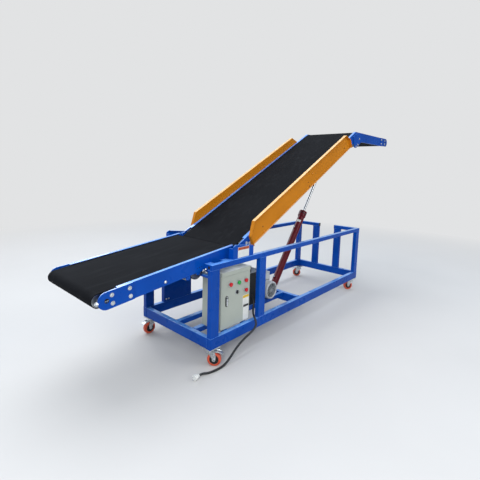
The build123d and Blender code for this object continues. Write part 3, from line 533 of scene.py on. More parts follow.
# %% Weld bead helper
def bead(bm, points, radius, closed=False, ripple=0.18, pitch=3.0, sides=8):
    """A weld bead along a path, with its ripples."""
    line = [Vector(p) for p in points]
    if closed:
        line.append(line[0])
    dense = []
    for a, b in zip(line, line[1:]):
        count = max(1, round((b - a).length / (pitch / 2)))
        dense += [a.lerp(b, k / count) for k in range(count)]
    if not closed:
        dense.append(line[-1])
    rings = []
    total = len(dense)
    for k, point in enumerate(dense):
        before = dense[k - 1] if k or closed else point
        after = dense[(k + 1) % total] if k < total - 1 or closed else point
        way = (after - before).normalized()
        steep = abs(way.z) > 0.9
        across = (way.orthogonal() if steep else way.cross(Vector((0, 0, 1)))).normalized()
        over = way.cross(across)
        size = radius * (1 + (ripple if k % 2 else -ripple))
        rings.append([bm.verts.new(point + size * (math.cos(2 * math.pi * s / sides) * across
                                                   + math.sin(2 * math.pi * s / sides) * over))
                      for s in range(sides)])
    pairs = list(zip(rings, rings[1:] + rings[:1])) if closed else list(zip(rings, rings[1:]))
    for low, high in pairs:
        for s in range(sides):
            n = (s + 1) % sides
            bm.faces.new((low[s], low[n], high[n], high[s]))
    if not closed:
        bm.faces.new(rings[0][::-1])
        bm.faces.new(rings[-1])


print("weld beads ripple by 18 in 100 of their radius")

# %% [markdown]
# Every piece ends in the same way: it is scaled to metres, shaded smooth with its folds kept
# sharp, given its finish, and tied to the body that carries it. One function does all of that, so
# no piece can miss a step.

# %% From outline to piece
fold = math.radians(32)


def piece(name, bm, finish, body, place=on_chassis, stands_for=(), edge=0.0):
    """Make a mesh drawn in millimetres into a piece that rides on a body."""
    bm.transform(Matrix.Scale(MM, 4) @ place)
    bmesh.ops.recalc_face_normals(bm, faces=bm.faces)
    mesh = bpy.data.meshes.new(name)
    bm.to_mesh(mesh)
    bm.free()
    mesh.shade_smooth()
    mesh.set_sharp_from_angle(angle=fold)
    mesh.materials.append(finish)
    obj = bpy.data.objects.new(name, mesh)
    bpy.context.scene.collection.objects.link(obj)
    if edge:
        round_edges(obj, edge)
    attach(obj, body)
    if stands_for:
        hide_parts(*stands_for)
    return obj


print("edges sharper than", round(math.degrees(fold)), "degrees stay sharp")

# %% [markdown]
# The mains cord leaves the side of the control box through a cable gland, dips between the door
# and the post, crosses over the bottom rail and runs along the ground to its plug. It is rubber
# flex 16 mm thick, and 0.94 m of it show in the photograph. It could be simulated as a falling
# rope, but it lies in one known place. A NURBS curve through a handful of points gives it the lazy
# line of something that was dropped there.

# %% Mains cord
flex_radius = 8
cord_points = ((467, -325, 395), (490, -325, 395), (513, -326, 390), (532, -329, 376), (543, -333, 354),
               (544, -339, 326), (535, -347, 299), (518, -357, 276), (497, -374, 260), (478, -397, 249),
               (465, -422, 233), (458, -440, 211), (445, -448, 188), (421, -450, 171), (389, -451, 159),
               (354, -451, 149), (318, -451, 138), (283, -451, 125), (249, -451, 109), (217, -451, 90),
               (187, -451, 68), (157, -451, 45), (126, -451, 25.5), (92, -451, 13), (56, -450, 9),
               (19, -447, 8.3), (-17, -441, 8.2), (-52, -432, 10.5), (-84, -425, 20), (-114, -424, 20))
cord_curve = bpy.data.curves.new("mains_flex", "CURVE")
cord_curve.dimensions = "3D"
spline = cord_curve.splines.new("NURBS")
spline.points.add(len(cord_points) - 1)
for point, (x, y, z) in zip(spline.points, cord_points):
    point.co = ((x + chassis_front) * MM, y * MM, z * MM, 1)
spline.order_u = 3
spline.use_endpoint_u = True
spline.resolution_u = 12
cord_curve.bevel_depth = flex_radius * MM
cord_curve.bevel_resolution = 6
cord_curve.use_fill_caps = True
cord_curve.materials.append(cord_rubber)
flex = bpy.data.objects.new("mains_flex", cord_curve)
bpy.context.scene.collection.objects.link(flex)
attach(flex, "chassis")
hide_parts("mains_cord")
print("cord control points:", len(cord_points))

# %% [markdown]
# The plug is a white rewireable one: a round grip that narrows to the cord, a collar, and two
# pins. All of it is turned about one axis, so one outline makes the body. Ten short ribs, five on
# each side of the grip, give the fingers a hold.

# %% Plug
plug_end = cord_points[-1]
to_pins = aim(plug_end, (-1, 0, 0))
bm = bmesh.new()
turn(bm, ((0, 0), (9.2, 0), (10.5, 3), (10.5, 8), (14.5, 14), (16.5, 22), (16.5, 30), (18.8, 33),
          (19.3, 36), (19.3, 40), (0, 40)), to_pins, 40)
for degrees in (-60, -30, 0, 30, 60, 120, 150, 180, 210, 240):
    round_grip = to_pins @ Matrix.Rotation(math.radians(degrees), 4, "Z")
    on_grip = round_grip @ Matrix.Translation((16.0, 0, 24)) @ Matrix.Rotation(math.pi / 2, 4, "Y")
    slab(bm, rounded(2.0, 12, 0.9, 3), 1.4, on_grip)
plug = piece("plug_body", bm, white_plastic, "chassis", stands_for=("mains_plug",), edge=0.4)
bm = bmesh.new()
for offset in (-9.5, 9.5):
    turn(bm, ((0, 39), (2.4, 39), (2.4, 56), (1.8, 57.5), (0, 57.8)),
         to_pins @ Matrix.Translation((0, offset, 0)), 20)
pins = piece("plug_pins", bm, zinc, "chassis")
print("plug at", plug_end)

# %% [markdown]
# The cable gland seals the cord into the box. It is a hexagon body with a domed nut, and a ribbed
# boot that keeps the cord from kinking. The boot is a ring outline with a wavy outside.

# %% Cable gland
box_side = 445
gland_y = -325
gland_z = 395
bm = bmesh.new()
from_box = aim((box_side, gland_y, gland_z), (1, 0, 0))
turn(bm, ((0, 0), (14.5, 0), (14.5, 3.2), (13.8, 4), (0, 4)), from_box, 6)
turn(bm, ((0, 4), (12.2, 4), (12.2, 8), (11.2, 10), (0, 10)), from_box, 6)
turn(bm, ((8.1, 9.9), (10.6, 10), (10.6, 12), (9.4, 12.6), (9.4, 13.6), (10.1, 14.2), (10.1, 15.6),
          (9.1, 16.2), (9.1, 17.2), (9.7, 17.8), (9.7, 19.4), (8.8, 20), (8.6, 22), (8.02, 22)),
     from_box, 32)
gland = piece("cable_gland", bm, black_plastic, "chassis", stands_for=("cord_gland",))

# %% [markdown]
# The floor is a wide pale sheet, as in a product studio. A real one is swept up behind the object
# so that no horizon shows. Here its material turns into the backdrop's colour between 2.6 m and
# 6.5 m out, for the camera only, so it still bounces light and keeps the machine's shadow.

# %% Floor
backdrop_colour = "E2E3E4"
floor_rings = (40000, 14000, 7000, 3500, 1500, 0)
fade_metres = (2.6, 6.5)
bm = bmesh.new()
turn(bm, [(radius, 0) for radius in floor_rings], Matrix.Identity(4), 96)
bm.transform(Matrix.Scale(MM, 4))
bmesh.ops.recalc_face_normals(bm, faces=bm.faces)
floor_mesh = bpy.data.meshes.new("floor")
bm.to_mesh(floor_mesh)
bm.free()
floor = bpy.data.objects.new("floor", floor_mesh)
bpy.context.scene.collection.objects.link(floor)
floor_paint, tree, shader, place = blank("pale_studio_floor")
floor_tint = add(tree, "ShaderNodeMix",
                 {SHARE: cloud(tree, place, 900, 4), FIRST: linear("CBC9C6"),
                  SECOND: linear("C4C2BF")}, MIXED, data_type="RGBA")
tree.links.new(floor_tint, shader.inputs["Base Color"])
shader.inputs["Roughness"].default_value = 0.8
far_off = add(tree, "ShaderNodeVectorMath", {0: place}, "Value", operation="LENGTH")
fade = add(tree, "ShaderNodeMapRange",
           {"Value": far_off, "From Min": fade_metres[0], "From Max": fade_metres[1]}, "Result")
glow = add(tree, "ShaderNodeEmission", {"Color": linear(backdrop_colour), "Strength": 1.0}, "Emission")
seen = add(tree, "ShaderNodeLightPath", out="Is Camera Ray")
share = add(tree, "ShaderNodeMath", {0: fade, 1: seen}, "Value", operation="MULTIPLY")
mixed = add(tree, "ShaderNodeMixShader", {0: share, 1: shader.outputs["BSDF"], 2: glow}, "Shader")
tree.links.new(mixed, tree.nodes["Material Output"].inputs["Surface"])
floor_mesh.materials.append(floor_paint)
print("floor of", 2 * floor_rings[0] * MM, "m across")

# %% [markdown]
# The world does two jobs. The camera sees it as the plain backdrop. The machine is lit by it as
# by an open sky: soft, a little blue, and brighter above and behind than towards the camera, which
# is what draws the pale lines along the tops of the rails in the photograph. A picture of a sky
# could do that too, but one dot product gives the same slow change.

# %% World
sky_heading = (0.2, 0.55, 0.8)
world = bpy.data.worlds.new("studio")
bpy.context.scene.world = world
world.use_nodes = True
tree = world.node_tree
tree.nodes.clear()
plain = add(tree, "ShaderNodeBackground", {"Color": linear(backdrop_colour), "Strength": 1.0},
            "Background")
heading = add(tree, "ShaderNodeTexCoord", out="Generated")
skyward = add(tree, "ShaderNodeVectorMath", {0: heading, 1: sky_heading}, "Value",
              operation="DOT_PRODUCT")
sky = add(tree, "ShaderNodeMapRange", {"Value": skyward, "From Min": -0.25, "From Max": 0.85,
                                       "To Min": 0.10, "To Max": 1.0}, "Result")
soft = add(tree, "ShaderNodeBackground", {"Color": linear("D6E6FA"), "Strength": sky}, "Background")
seen = add(tree, "ShaderNodeLightPath", out="Is Camera Ray")
choice = add(tree, "ShaderNodeMixShader", {0: seen, 1: soft, 2: plain}, "Shader")
add(tree, "ShaderNodeOutputWorld", {"Surface": choice})
print("backdrop", backdrop_colour)

# %% [markdown]
# The lamps are big and soft. A small lamp would cut hard shadows through the open frame, and a
# sun would clip the pale labels. The key comes from the camera's left, a weaker one fills from the
# right, a broad one hangs overhead, and one behind lifts the far edges off the backdrop. Their
# power is set so that a colour renders about as it is written.

# %% Lamps
def softbox(name, place, target, size, watts):
    """A rectangular area lamp that looks at a target. Places and sizes in metres."""
    lamp = bpy.data.lights.new(name, "AREA")
    lamp.shape = "RECTANGLE"
    lamp.size, lamp.size_y = size
    lamp.energy = watts
    obj = bpy.data.objects.new(name, lamp)
    bpy.context.scene.collection.objects.link(obj)
    obj.matrix_world = aim(place, Vector(place) - Vector(target))


softbox("key_lamp", (-6.0, -4.0, 4.0), (0, 0, 0.7), (4, 3), 340)
softbox("fill_lamp", (1.5, -6.0, 4.5), (0.5, 0, 0.9), (4, 3), 150)
softbox("top_lamp", (0.0, 1.0, 6.0), (0, 0, 0.5), (7, 4), 220)
softbox("back_lamp", (-1.0, 6.0, 4.5), (0, 0, 0.9), (5, 3), 160)
bpy.context.scene.view_settings.view_transform = "Standard"
print("lamps:", len(bpy.data.lights))

# %% [markdown]
# The guards hang on M8 bolts that were painted over with the guard, so they take its enamel. An
# array modifier could repeat a bolt, but the rows on this machine are uneven, so a short list of
# places does it, and one function sets a head on both sides at once. Beside the bolts are small
# drilled holes that were never used. Cutting them would cost a boolean for each, and a dark disc
# with a softened rim, painted shade for the inside of the hole, reads the same at this size.

# %% Bolts and holes of the guards
guard_face = 334
hole_radius = 6
hole_depth = 0.3


def bolts_on_sides(name, body, place, spots, face, flats, finish=zinc):
    """A row of bolt heads, on the near and the far side, at (x, z) places."""
    bm = bmesh.new()
    for x, z in spots:
        for y, out in both(face):
            bolt(bm, aim((x, y, z), (0, out, 0)), flats)
    return piece(name, bm, finish, body, place)


def hole(bm, place, radius):
    """A dark disc that stands for a small drilled hole."""
    turn(bm, ((0, 0), (radius, 0), (radius - hole_depth, hole_depth), (0, hole_depth)), place, 24)


guard_bolts = [(290, -34), (1150, 52), (1848, -34)]
guard_holes = [(294, 13), (1056, 13), (1061, -34), (1857, 4)]
bolts_on_sides("guard_bolts", "boom", on_boom, guard_bolts, guard_face, 13, ochre_enamel)
# Dark discs of painted shade for the holes.
bm = bmesh.new()
for u, w in guard_holes:
    for y, out in both(guard_face):
        hole(bm, aim((u, y, w), (0, out, 0)), hole_radius)
piece("guard_holes", bm, hole_dark, "boom", on_boom)
print("guard bolts and holes on each side:", len(guard_bolts), len(guard_holes))

# %% [markdown]
# Zinc plated M10 hexagon heads with plain washers hold the end plates and the elbow plates to the
# side frames, in the pattern that the photograph shows. All of them could be one mesh, but those
# on the boom have to rise with it and those on the infeed stay, so each group is a piece of its
# own on the right body.

# %% Bolts of the conveyors
plate_face = 331
plate_flats = 16
tail_bolts = [(69, 9), (100, -13)]
head_bolts = [(head_len - a, b) for a in (32, 155) for b in (24, -24)]
elbow_bolts = [(81, -20), (54, -89), (2, -112)]
feed_bolts = [(a, b) for a in (32, 140) for b in (24, -24)]
bolts_on_sides("tail_plate_bolts", "boom", on_boom, tail_bolts, plate_face, plate_flats)
bolts_on_sides("head_bolts", "boom", on_head, head_bolts + elbow_bolts, plate_face, plate_flats)
bolts_on_sides("infeed_bolts", "chassis", on_feed, feed_bolts, plate_face, plate_flats)
print("plate bolts on each side:", len(tail_bolts + head_bolts + elbow_bolts + feed_bolts))

# %% [markdown]
# Each post is welded round its foot and its head, and each cross rail round its ends. A MIG bead
# is 5 to 6 mm wide, and the paint goes over it, so the beads take the same enamel as the tubes.
# Their paths are the outlines of the tubes, a hair larger.

# %% Weld beads
rail_top = 220
upper_rail_low = 705
post_y = 390
rail_inner_face = 369.5
bead_radius = 2.6
plate_bead_radius = 2.2
tube_corner = 5.5
# Columns: x, y and the two widths of the post.
post_spots = [(x, s * post_y, 80, 40) for x, s in ((40, -1), (40, 1), (562, -1), (447, 1),
                                                   (2360, -1), (2360, 1))]
post_spots += [(2380, s * 145, 40, 80) for s in (-1, 1)]
# Columns: x, middle height and height of each cross rail.
cross_rail_ends = ((20, 180, 80), (1170, 180, 80), (2380, 180, 80), (36, 650, 20))
hanger_stations = (1690, 1900)
hanger_half = 30
bm = bmesh.new()
for x, y, wx, wy in post_spots:
    ring = [(x + px, y + py) for px, py in rounded(wx + 1, wy + 1, tube_corner, 3)]
    for z in (rail_top + 0.8, upper_rail_low - 0.8):
        bead(bm, [(px, py, z) for px, py in ring], bead_radius, closed=True)
for x, z, high in cross_rail_ends:
    for s in (-1, 1):
        ring = [(x + px, s * rail_inner_face, z + pz)
                for px, pz in rounded(41, high + 1, tube_corner, 3)]
        bead(bm, ring, bead_radius, closed=True)
piece("frame_welds", bm, blue_enamel, "chassis")
bm = bmesh.new()
for s in (-1, 1):
    for u in hanger_stations:
        for end in (u - hanger_half, u + hanger_half):
            bead(bm, [(end, s * 318, -51), (end, s * 301, -51)], plate_bead_radius)
    for y in (31, 43):
        for u in hanger_stations:
            bead(bm, [(u - hanger_half, s * y, -80), (u + hanger_half, s * y, -80)],
                 plate_bead_radius)
piece("hanger_welds", bm, blue_enamel, "boom", on_boom)
print("welded posts:", len(post_spots))

# %% [markdown]
# Labels are vinyl film with a printed band and a white field, left blank here. They could be a
# pattern in the paint, but real film has a thickness and a cut edge, so a sheet half a millimetre
# thick with rounded corners catches a line of light round it.

# %% Blank labels
door_face = -374
stand_face = -399


def label(name, body, middle, size, band, band_share, face):
    """A blank label on a face that looks to the near side: white field with a band on top."""
    x, z = middle
    width, height = size
    spot = aim((x, face, z), (0, -1, 0))
    bm = bmesh.new()
    slab(bm, rounded(width, height, 3), 0.5, spot)
    piece(name, bm, label_white, body)
    bm = bmesh.new()
    high = height * band_share
    slab(bm, rounded(width - 4, high - 3, 1.5), 0.4,
         spot @ Matrix.Translation((0, height / 2 - high / 2 - 0.5, 0.4)))
    piece(name + "_band", bm, band, body)


label("stand_label", "chassis", (332, 787), (124, 78), label_rust, 0.30, stand_face)
label("door_label_high", "door", (402, 390), (72, 86), label_yellow, 0.26, door_face)
label("door_label_low", "door", (405, 296), (64, 122), label_dark, 0.16, door_face)
print("labels: three")

# %% [markdown]
# The push buttons are 22 mm panel buttons: a turned metal bezel, and a coloured mushroom cap on a
# short neck. Both are round all the way, so each is one outline spun round its axis, and the caps
# of one colour share a piece. Places on the door are measured from its infeed edge and down from
# its top edge, as they were on the photograph.

# %% Push buttons
door_left = 131
door_top = 622
stop_spots = ((88, 65), (259, 69), (262, 145))
start_spot = (178, 68)
selector_spot = (164, 140)
bezel_profile = ((0, 0), (17, 0), (17, 2.2), (16, 4.2), (14.4, 5), (13.6, 5), (13.6, 3.6), (0, 3.6))
cap_profile = ((0, 3), (9, 3), (9, 10.6), (13.4, 10), (15, 10.8), (15.5, 12.4), (15.5, 16.6),
               (14.8, 19.2), (12.8, 20.9), (9, 21.8), (0, 22))


def on_door(spot):
    """A place on the door's face, from its infeed edge and down from its top edge."""
    return aim((door_left + spot[0], door_face, door_top - spot[1]), (0, -1, 0))


bm = bmesh.new()
for spot in stop_spots:
    turn(bm, cap_profile, on_door(spot), 40)
piece("stop_caps", bm, red_cap, "door", stands_for=("stop_buttons",))
bm = bmesh.new()
turn(bm, cap_profile, on_door(start_spot), 40)
piece("start_cap", bm, green_cap, "door", stands_for=("start_button",))
bm = bmesh.new()
for spot in stop_spots + (start_spot, selector_spot):
    turn(bm, bezel_profile, on_door(spot), 40)
piece("button_bezels", bm, zinc, "door")
print("push buttons:", len(stop_spots) + 1)

# %% [markdown]
# The selector has a round black base with a thumb bar across it, turned to one side as in the
# photograph. A white line on the bar and three ticks round the bezel show its positions. They are
# thin raised slabs, because a painted line that thin would need a picture.

# %% Selector switch
selector_turn = -35
bar_top = 17.8
bm = bmesh.new()
knob = on_door(selector_spot) @ Matrix.Rotation(math.radians(selector_turn), 4, "Z")
turn(bm, ((0, 3), (13.4, 3), (13.4, 8), (12.4, 9.4), (0, 9.4)), knob, 40)
slab(bm, rounded(8, 26, 3.6), 8.8, knob @ Matrix.Translation((0, 0, 9.2)))
piece("selector_knob", bm, black_plastic, "door", stands_for=("selector_switch",),
      edge=0.6)
bm = bmesh.new()
slab(bm, rounded(2.4, 11, 1), 0.5, knob @ Matrix.Translation((0, 6, bar_top)))
for k in (-1, 0, 1):
    mark = on_door(selector_spot) @ Matrix.Rotation(math.radians(35 * k), 4, "Z")
    slab(bm, rounded(2, 5, 0.9), 0.4, mark @ Matrix.Translation((0, 21, 0)))
piece("selector_marks", bm, white_plastic, "door")
print("selector turned by", selector_turn, "degrees")

# %% [markdown]
# The door closes with a tall narrow swing handle: a long black plate with round ends, a bright
# handle in it, and a key barrel above. Each is a slab or a turned disc stacked on the one before,
# the way the real lock is built up.

# %% Door lock
lock_spot = (58, 187)
key_up = 31
bm = bmesh.new()
spot = on_door(lock_spot)
slab(bm, rounded(28, 80, 13.9), 4, spot)
piece("lock_plate", bm, black_plastic, "door", stands_for=("door_lock",), edge=0.8)
bm = bmesh.new()
slab(bm, rounded(14, 56, 6.9), 5, spot @ Matrix.Translation((0, -6, 3.9)))
turn(bm, ((0, 4), (5.8, 4), (5.8, 6.4), (5.2, 7), (0, 7)), spot @ Matrix.Translation((0, key_up, 0)), 32)
piece("lock_handle", bm, zinc, "door", edge=0.8)
# The key slot is a dark slab: painted shade inside the slot.
bm = bmesh.new()
slab(bm, rounded(1.8, 7, 0.8), 0.3, spot @ Matrix.Translation((0, key_up, 6.9)))
piece("key_slot", bm, hole_dark, "door")
print("lock at", lock_spot)

# %% [markdown]
# Behind the door is what every such box holds: a zinc mounting plate with two rails of
# switchgear, slotted wire ducts and a row of terminals. It shows only when the door is open, so
# plain blocks with their main step are enough, and loops over short tables place them.

# %% Inside the control box
gear_face = -184
gear_middle = 288
upper_rail_z = 530
lower_rail_z = 350


def on_plate(x, z, lift=0):
    """A place on the mounting plate, looking out at the door."""
    return aim((x, gear_face - lift, z), (0, -1, 0))


bm = bmesh.new()
slab(bm, rounded(280, 380, 4), 3, on_plate(gear_middle, 437, -3))
for z in (upper_rail_z, lower_rail_z):
    slab(bm, rounded(230, 35, 1), 6, on_plate(gear_middle, z))
piece("mounting_plate", bm, zinc, "chassis", edge=0.4)
# Columns: x, rail height, width, height and depth of each device.
devices = ((200, upper_rail_z, 45, 76, 80), (250, upper_rail_z, 45, 76, 80),
           (320, upper_rail_z, 54, 84, 70), (215, lower_rail_z, 70, 90, 95),
           (290, lower_rail_z, 36, 90, 60))
bm = bmesh.new()
for x, z, width, height, depth in devices:
    slab(bm, rounded(width, height, 2), depth * 0.6, on_plate(x, z, 6))
    slab(bm, rounded(width, height * 0.55, 2), depth, on_plate(x, z, 6))
piece("switchgear", bm, black_plastic, "chassis", edge=0.8)
bm = bmesh.new()
for z in (605, 440, 265):
    slab(bm, rounded(262, 30, 1), 45, on_plate(gear_middle, z))
for k in range(12):
    slab(bm, rounded(7, 44, 1), 40, on_plate(330 + 6.75 * k, lower_rail_z, 6))
piece("wire_ducts", bm, grey_plastic, "chassis", edge=0.5)
print("devices behind the door:", len(devices))

# %% [markdown]
# The motor is cooled by a fan under a deep cup of painted sheet metal. The cup's rim is rolled
# inward, which is what gives it its bright ring. A cup is hollow, so its outline is a closed loop
# that never touches the axis, and it needs a turning helper of its own.

# %% Fan cup
motor_x = 911
motor_axis_z = 309
to_fan = aim((motor_x, -188, motor_axis_z), (0, -1, 0))


def ring_loop(bm, profile, place, steps=32):
    """Revolve a closed profile that doesn't touch the axis."""
    rings = [[bm.verts.new(place @ Vector((r * math.cos(2 * math.pi * k / steps),
                                           r * math.sin(2 * math.pi * k / steps), h)))
              for k in range(steps)] for r, h in profile]
    for low, high in zip(rings, rings[1:] + rings[:1]):
        for k in range(steps):
            n = (k + 1) % steps
            bm.faces.new((low[k], low[n], high[n], high[k]))


bm = bmesh.new()
ring_loop(bm, ((78.2, 0), (80, 0), (80, 53), (79.4, 57.5), (77.6, 61), (74.8, 63.2), (71.5, 64),
               (68.6, 63.6), (67, 62), (66.4, 59.6), (65, 59), (65, 57.6), (68, 57.4), (71.5, 60.4),
               (74.4, 59.4), (76.6, 56.6), (77.8, 52.5), (78.2, 48)), to_fan, 96)
piece("fan_cup", bm, silver_enamel, "chassis", stands_for=("fan_cover",))
print("fan cup 160 mm across")

# %% [markdown]
# The face of the cup is a grille of rings and spokes set a few millimetres back, with the fan
# behind it. A see-through texture would be quicker, but the gaps between the rings are what makes
# the face dark from the side, so the wires are real. The fan has eight slightly pitched blades.

# %% Fan grille and fan
bm = bmesh.new()
for radius in (15, 25, 35, 45, 55):
    ring_loop(bm, ((radius, 57.4), (radius + 2.6, 57.4), (radius + 2.6, 59.2), (radius, 59.2)),
              to_fan, 64)
for k in range(12):
    spoke = to_fan @ Matrix.Rotation(math.pi * k / 6, 4, "Z") @ Matrix.Translation((38, 0, 57.2))
    slab(bm, rounded(58, 3.2, 1, 2), 1.6, spoke)
turn(bm, ((0, 57), (15.5, 57), (15.5, 59.4), (13, 60.4), (0, 60.4)), to_fan, 32)
piece("fan_grille", bm, grey_plastic, "chassis")
bm = bmesh.new()
turn(bm, ((0, 16), (17, 16), (17, 44), (14, 48), (0, 48)), to_fan, 32)
blades = 8
for k in range(blades):
    blade = to_fan @ Matrix.Rotation(2 * math.pi * k / blades, 4, "Z") @ Matrix.Translation((40, 0, 20))
    slab(bm, rounded(50, 2.2, 1, 2), 26, blade @ Matrix.Rotation(math.radians(8), 4, "X"))
piece("fan_wheel", bm, black_plastic, "chassis")
print("fan blades:", blades)

# %% [markdown]
# On top of the motor sits the terminal box, cast with round corners, with a screwed lid that
# overhangs it and a cable entry with a blanking plug on each side. Two rounded slabs on a foot
# make it. Behind it stands a lifting eye, a small torus on a collar.

# %% Terminal box and lifting eye
box_y = -125
entry_z = 418
entries = ((849.6, -1), (972.4, 1))
lid_top = 456.4
eye_y = -26
plug_profile = ((0, 4), (9, 4), (9, 12), (7.5, 13.5), (0, 13.5))
bm = bmesh.new()
slab(bm, rounded(123, 103, 9), 58, Matrix.Translation((motor_x, box_y, 389)))
slab(bm, rounded(127, 107, 10), 7, Matrix.Translation((motor_x, box_y, 449.5)))
slab(bm, rounded(96, 76, 8), 10, Matrix.Translation((motor_x, box_y, 379)))
for x, out in entries:
    ring_loop(bm, ((8, 0), (14, 0), (14, 8), (12, 10), (8, 10)), aim((x, box_y, entry_z), (out, 0, 0)), 6)
piece("terminal_lid", bm, silver_enamel, "chassis", edge=0.8)
bm = bmesh.new()
for x, out in entries:
    turn(bm, plug_profile, aim((x, box_y, entry_z), (out, 0, 0)), 24)
piece("terminal_plugs", bm, black_plastic, "chassis")
bm = bmesh.new()
for dx in (-54, 54):
    for dy in (-44, 44):
        turn(bm, ((0, 0), (4, 0), (4, 1.6), (3, 2.6), (0, 2.6)),
             Matrix.Translation((motor_x + dx, box_y + dy, lid_top)), 20)
section = [(14 + 4 * math.cos(math.pi * k / 5), 4 * math.sin(math.pi * k / 5)) for k in range(10)]
ring_loop(bm, section, aim((motor_x, eye_y, 396), (0, 1, 0)), 36)
turn(bm, ((0, 0), (9, 0), (9, 3), (5.5, 5), (5.5, 11), (0, 11)),
     Matrix.Translation((motor_x, eye_y, 374)), 24)
piece("motor_screws", bm, zinc, "chassis")
print("terminal box and lifting eye done")

# %% [markdown]
# The tank's lid is held down by small bolts round its edge. On it stands a filler cap whose rim is
# ribbed for the hand: one rib, turned round 24 times. On the tank's near side a level glass shows
# the oil between two bolts. Two hexagon nuts hold the valve coils on the pump block beside it.

# %% Tank fittings
tank_top = 511
tank_bolts = [(x, y) for x in (572, 680, 788) for y in (-200, -20)]
tank_bolts += [(x, y) for y in (-140, -80) for x in (560, 800)]
glass_x = 605
glass_face = -213
cap_ribs = 24
bm = bmesh.new()
for dx in (-23, 23):
    turn(bm, ((0, 0), (9.5, 0), (9.5, 7), (8.2, 8), (0, 8)), Matrix.Translation((motor_x + dx, 86, 443)), 6)
for x, y in tank_bolts:
    bolt(bm, Matrix.Translation((x, y, tank_top)), 10, 4.2)
piece("pack_bolts", bm, zinc, "chassis")
bm = bmesh.new()
cap = Matrix.Translation((740, -110, tank_top))
turn(bm, ((0, 8), (23.5, 8), (24.5, 10), (24.5, 24), (22.5, 27), (0, 28)), cap, 48)
for k in range(cap_ribs):
    round_cap = cap @ Matrix.Rotation(2 * math.pi * k / cap_ribs, 4, "Z")
    slab(bm, rounded(2.2, 2.6, 0.8, 2), 13, round_cap @ Matrix.Translation((24.4, 0, 10)))
slab(bm, rounded(24, 130, 6), 8, aim((glass_x, glass_face + 8, 370), (0, -1, 0)))
piece("filler_cap", bm, black_plastic, "chassis")
bm = bmesh.new()
slab(bm, rounded(11, 92, 5), 2.5, aim((glass_x, glass_face, 370), (0, -1, 0)))
piece("level_glass", bm, label_white, "chassis")
bm = bmesh.new()
for z in (317, 423):
    bolt(bm, aim((glass_x, glass_face, z), (0, -1, 0)), 10, 4)
piece("level_bolts", bm, zinc, "chassis")
print("tank bolts:", len(tank_bolts))

# %% [markdown]
# The lift cylinder is drawn along its own axis, from its base pin to the rod's eye, and a frame
# that leans by its angle puts it in place. A black band sits in the groove of its gland and a
# wiper ring at the gland's mouth. Two port bosses with hexagon plugs stand on the upper side of the
# barrel, where its hoses would screw in, and a weld ring joins barrel and gland.

# %% Gland and ports of the cylinder
base_pin = (1260, 176)
cylinder_angle = math.radians(54.9077)
pin_to_eye = 1493.288
port_places = (118, 712)
on_cylinder = at(base_pin[0], 0, base_pin[1]) @ Matrix.Rotation(-cylinder_angle, 4, "Y")
along = aim((0, 0, 0), (1, 0, 0))
bm = bmesh.new()
ring_loop(bm, ((39.5, 904), (42.6, 904), (42.9, 906), (42.9, 910), (42.6, 912), (39.5, 912)), along, 64)
ring_loop(bm, ((14.2, 935), (24, 935), (23, 938.5), (17, 941), (14.2, 941)), along, 48)
piece("gland_wiper", bm, black_plastic, "barrel", on_cylinder)
bm = bmesh.new()
for u in port_places:
    turn(bm, ((0, 33), (17, 33), (15, 38), (14, 40), (14, 49), (13, 50), (0, 50)),
         Matrix.Translation((u, 0, 0)), 32)
ring_loop(bm, ((35.5, 866), (39, 871), (40.5, 873.2), (35.5, 873.2)), along, 64)
piece("port_bosses", bm, maroon_enamel, "barrel", on_cylinder)
bm = bmesh.new()
for u in port_places:
    turn(bm, ((0, 50), (9.5, 50), (9.5, 57), (8.4, 58.2), (0, 58.2)), Matrix.Translation((u, 0, 0)), 6)
piece("port_plugs", bm, zinc, "barrel", on_cylinder)
print("cylinder ports at", port_places)

# %% [markdown]
# A blank label is wrapped part of the way round the barrel. A flat slab would stand off at its
# ends, so its section is carried round the barrel in steps of ten degrees.

# %% Barrel label
barrel_radius = 35
label_ends = (788, 816)
bm = bmesh.new()
loops = []
for degree in range(35, 116, 10):
    side, up = -math.cos(math.radians(degree)), math.sin(math.radians(degree))
    section = [(barrel_radius + lift, u) for lift, u in
               ((0, label_ends[0]), (1.6, label_ends[0]), (1.6, label_ends[1]), (0, label_ends[1]))]
    loops.append([bm.verts.new((u, r * side, r * up)) for r, u in section])
for first, second in zip(loops, loops[1:]):
    for k in range(4):
        bm.faces.new((first[k], first[(k + 1) % 4], second[(k + 1) % 4], second[k]))
bm.faces.new(loops[0])
bm.faces.new(loops[-1][::-1])
piece("barrel_label", bm, label_white, "barrel", on_cylinder)
print("barrel label", label_ends[1] - label_ends[0], "mm wide")

# %% [markdown]
# Both pins of the cylinder are kept by a cap disc with a bolt through it, the same at each end,
# so a helper makes a pair. The rod's eye is forged and painted, unlike the chromed rod, and a
# painted sleeve round the solid gives it that finish with a chamfered edge.

# %% Pin caps and rod eye
eye_pin = (1821, -265)
neck = (pin_to_eye - 62, pin_to_eye - 60, pin_to_eye - 52, pin_to_eye - 24)


def pin_caps(name, pin, half_width, body, place):
    """A cap disc and its bolt on both ends of a pin that lies across the machine."""
    bm = bmesh.new()
    for y, out in both(half_width):
        spot = aim((pin[0], y, pin[1]), (0, out, 0))
        turn(bm, ((0, 0), (15.6, 0), (15.6, 1.2), (14.6, 2), (0, 2)), spot, 32)
        bolt(bm, spot, 10, 4, lift=2)
    piece(name, bm, zinc, body, place)


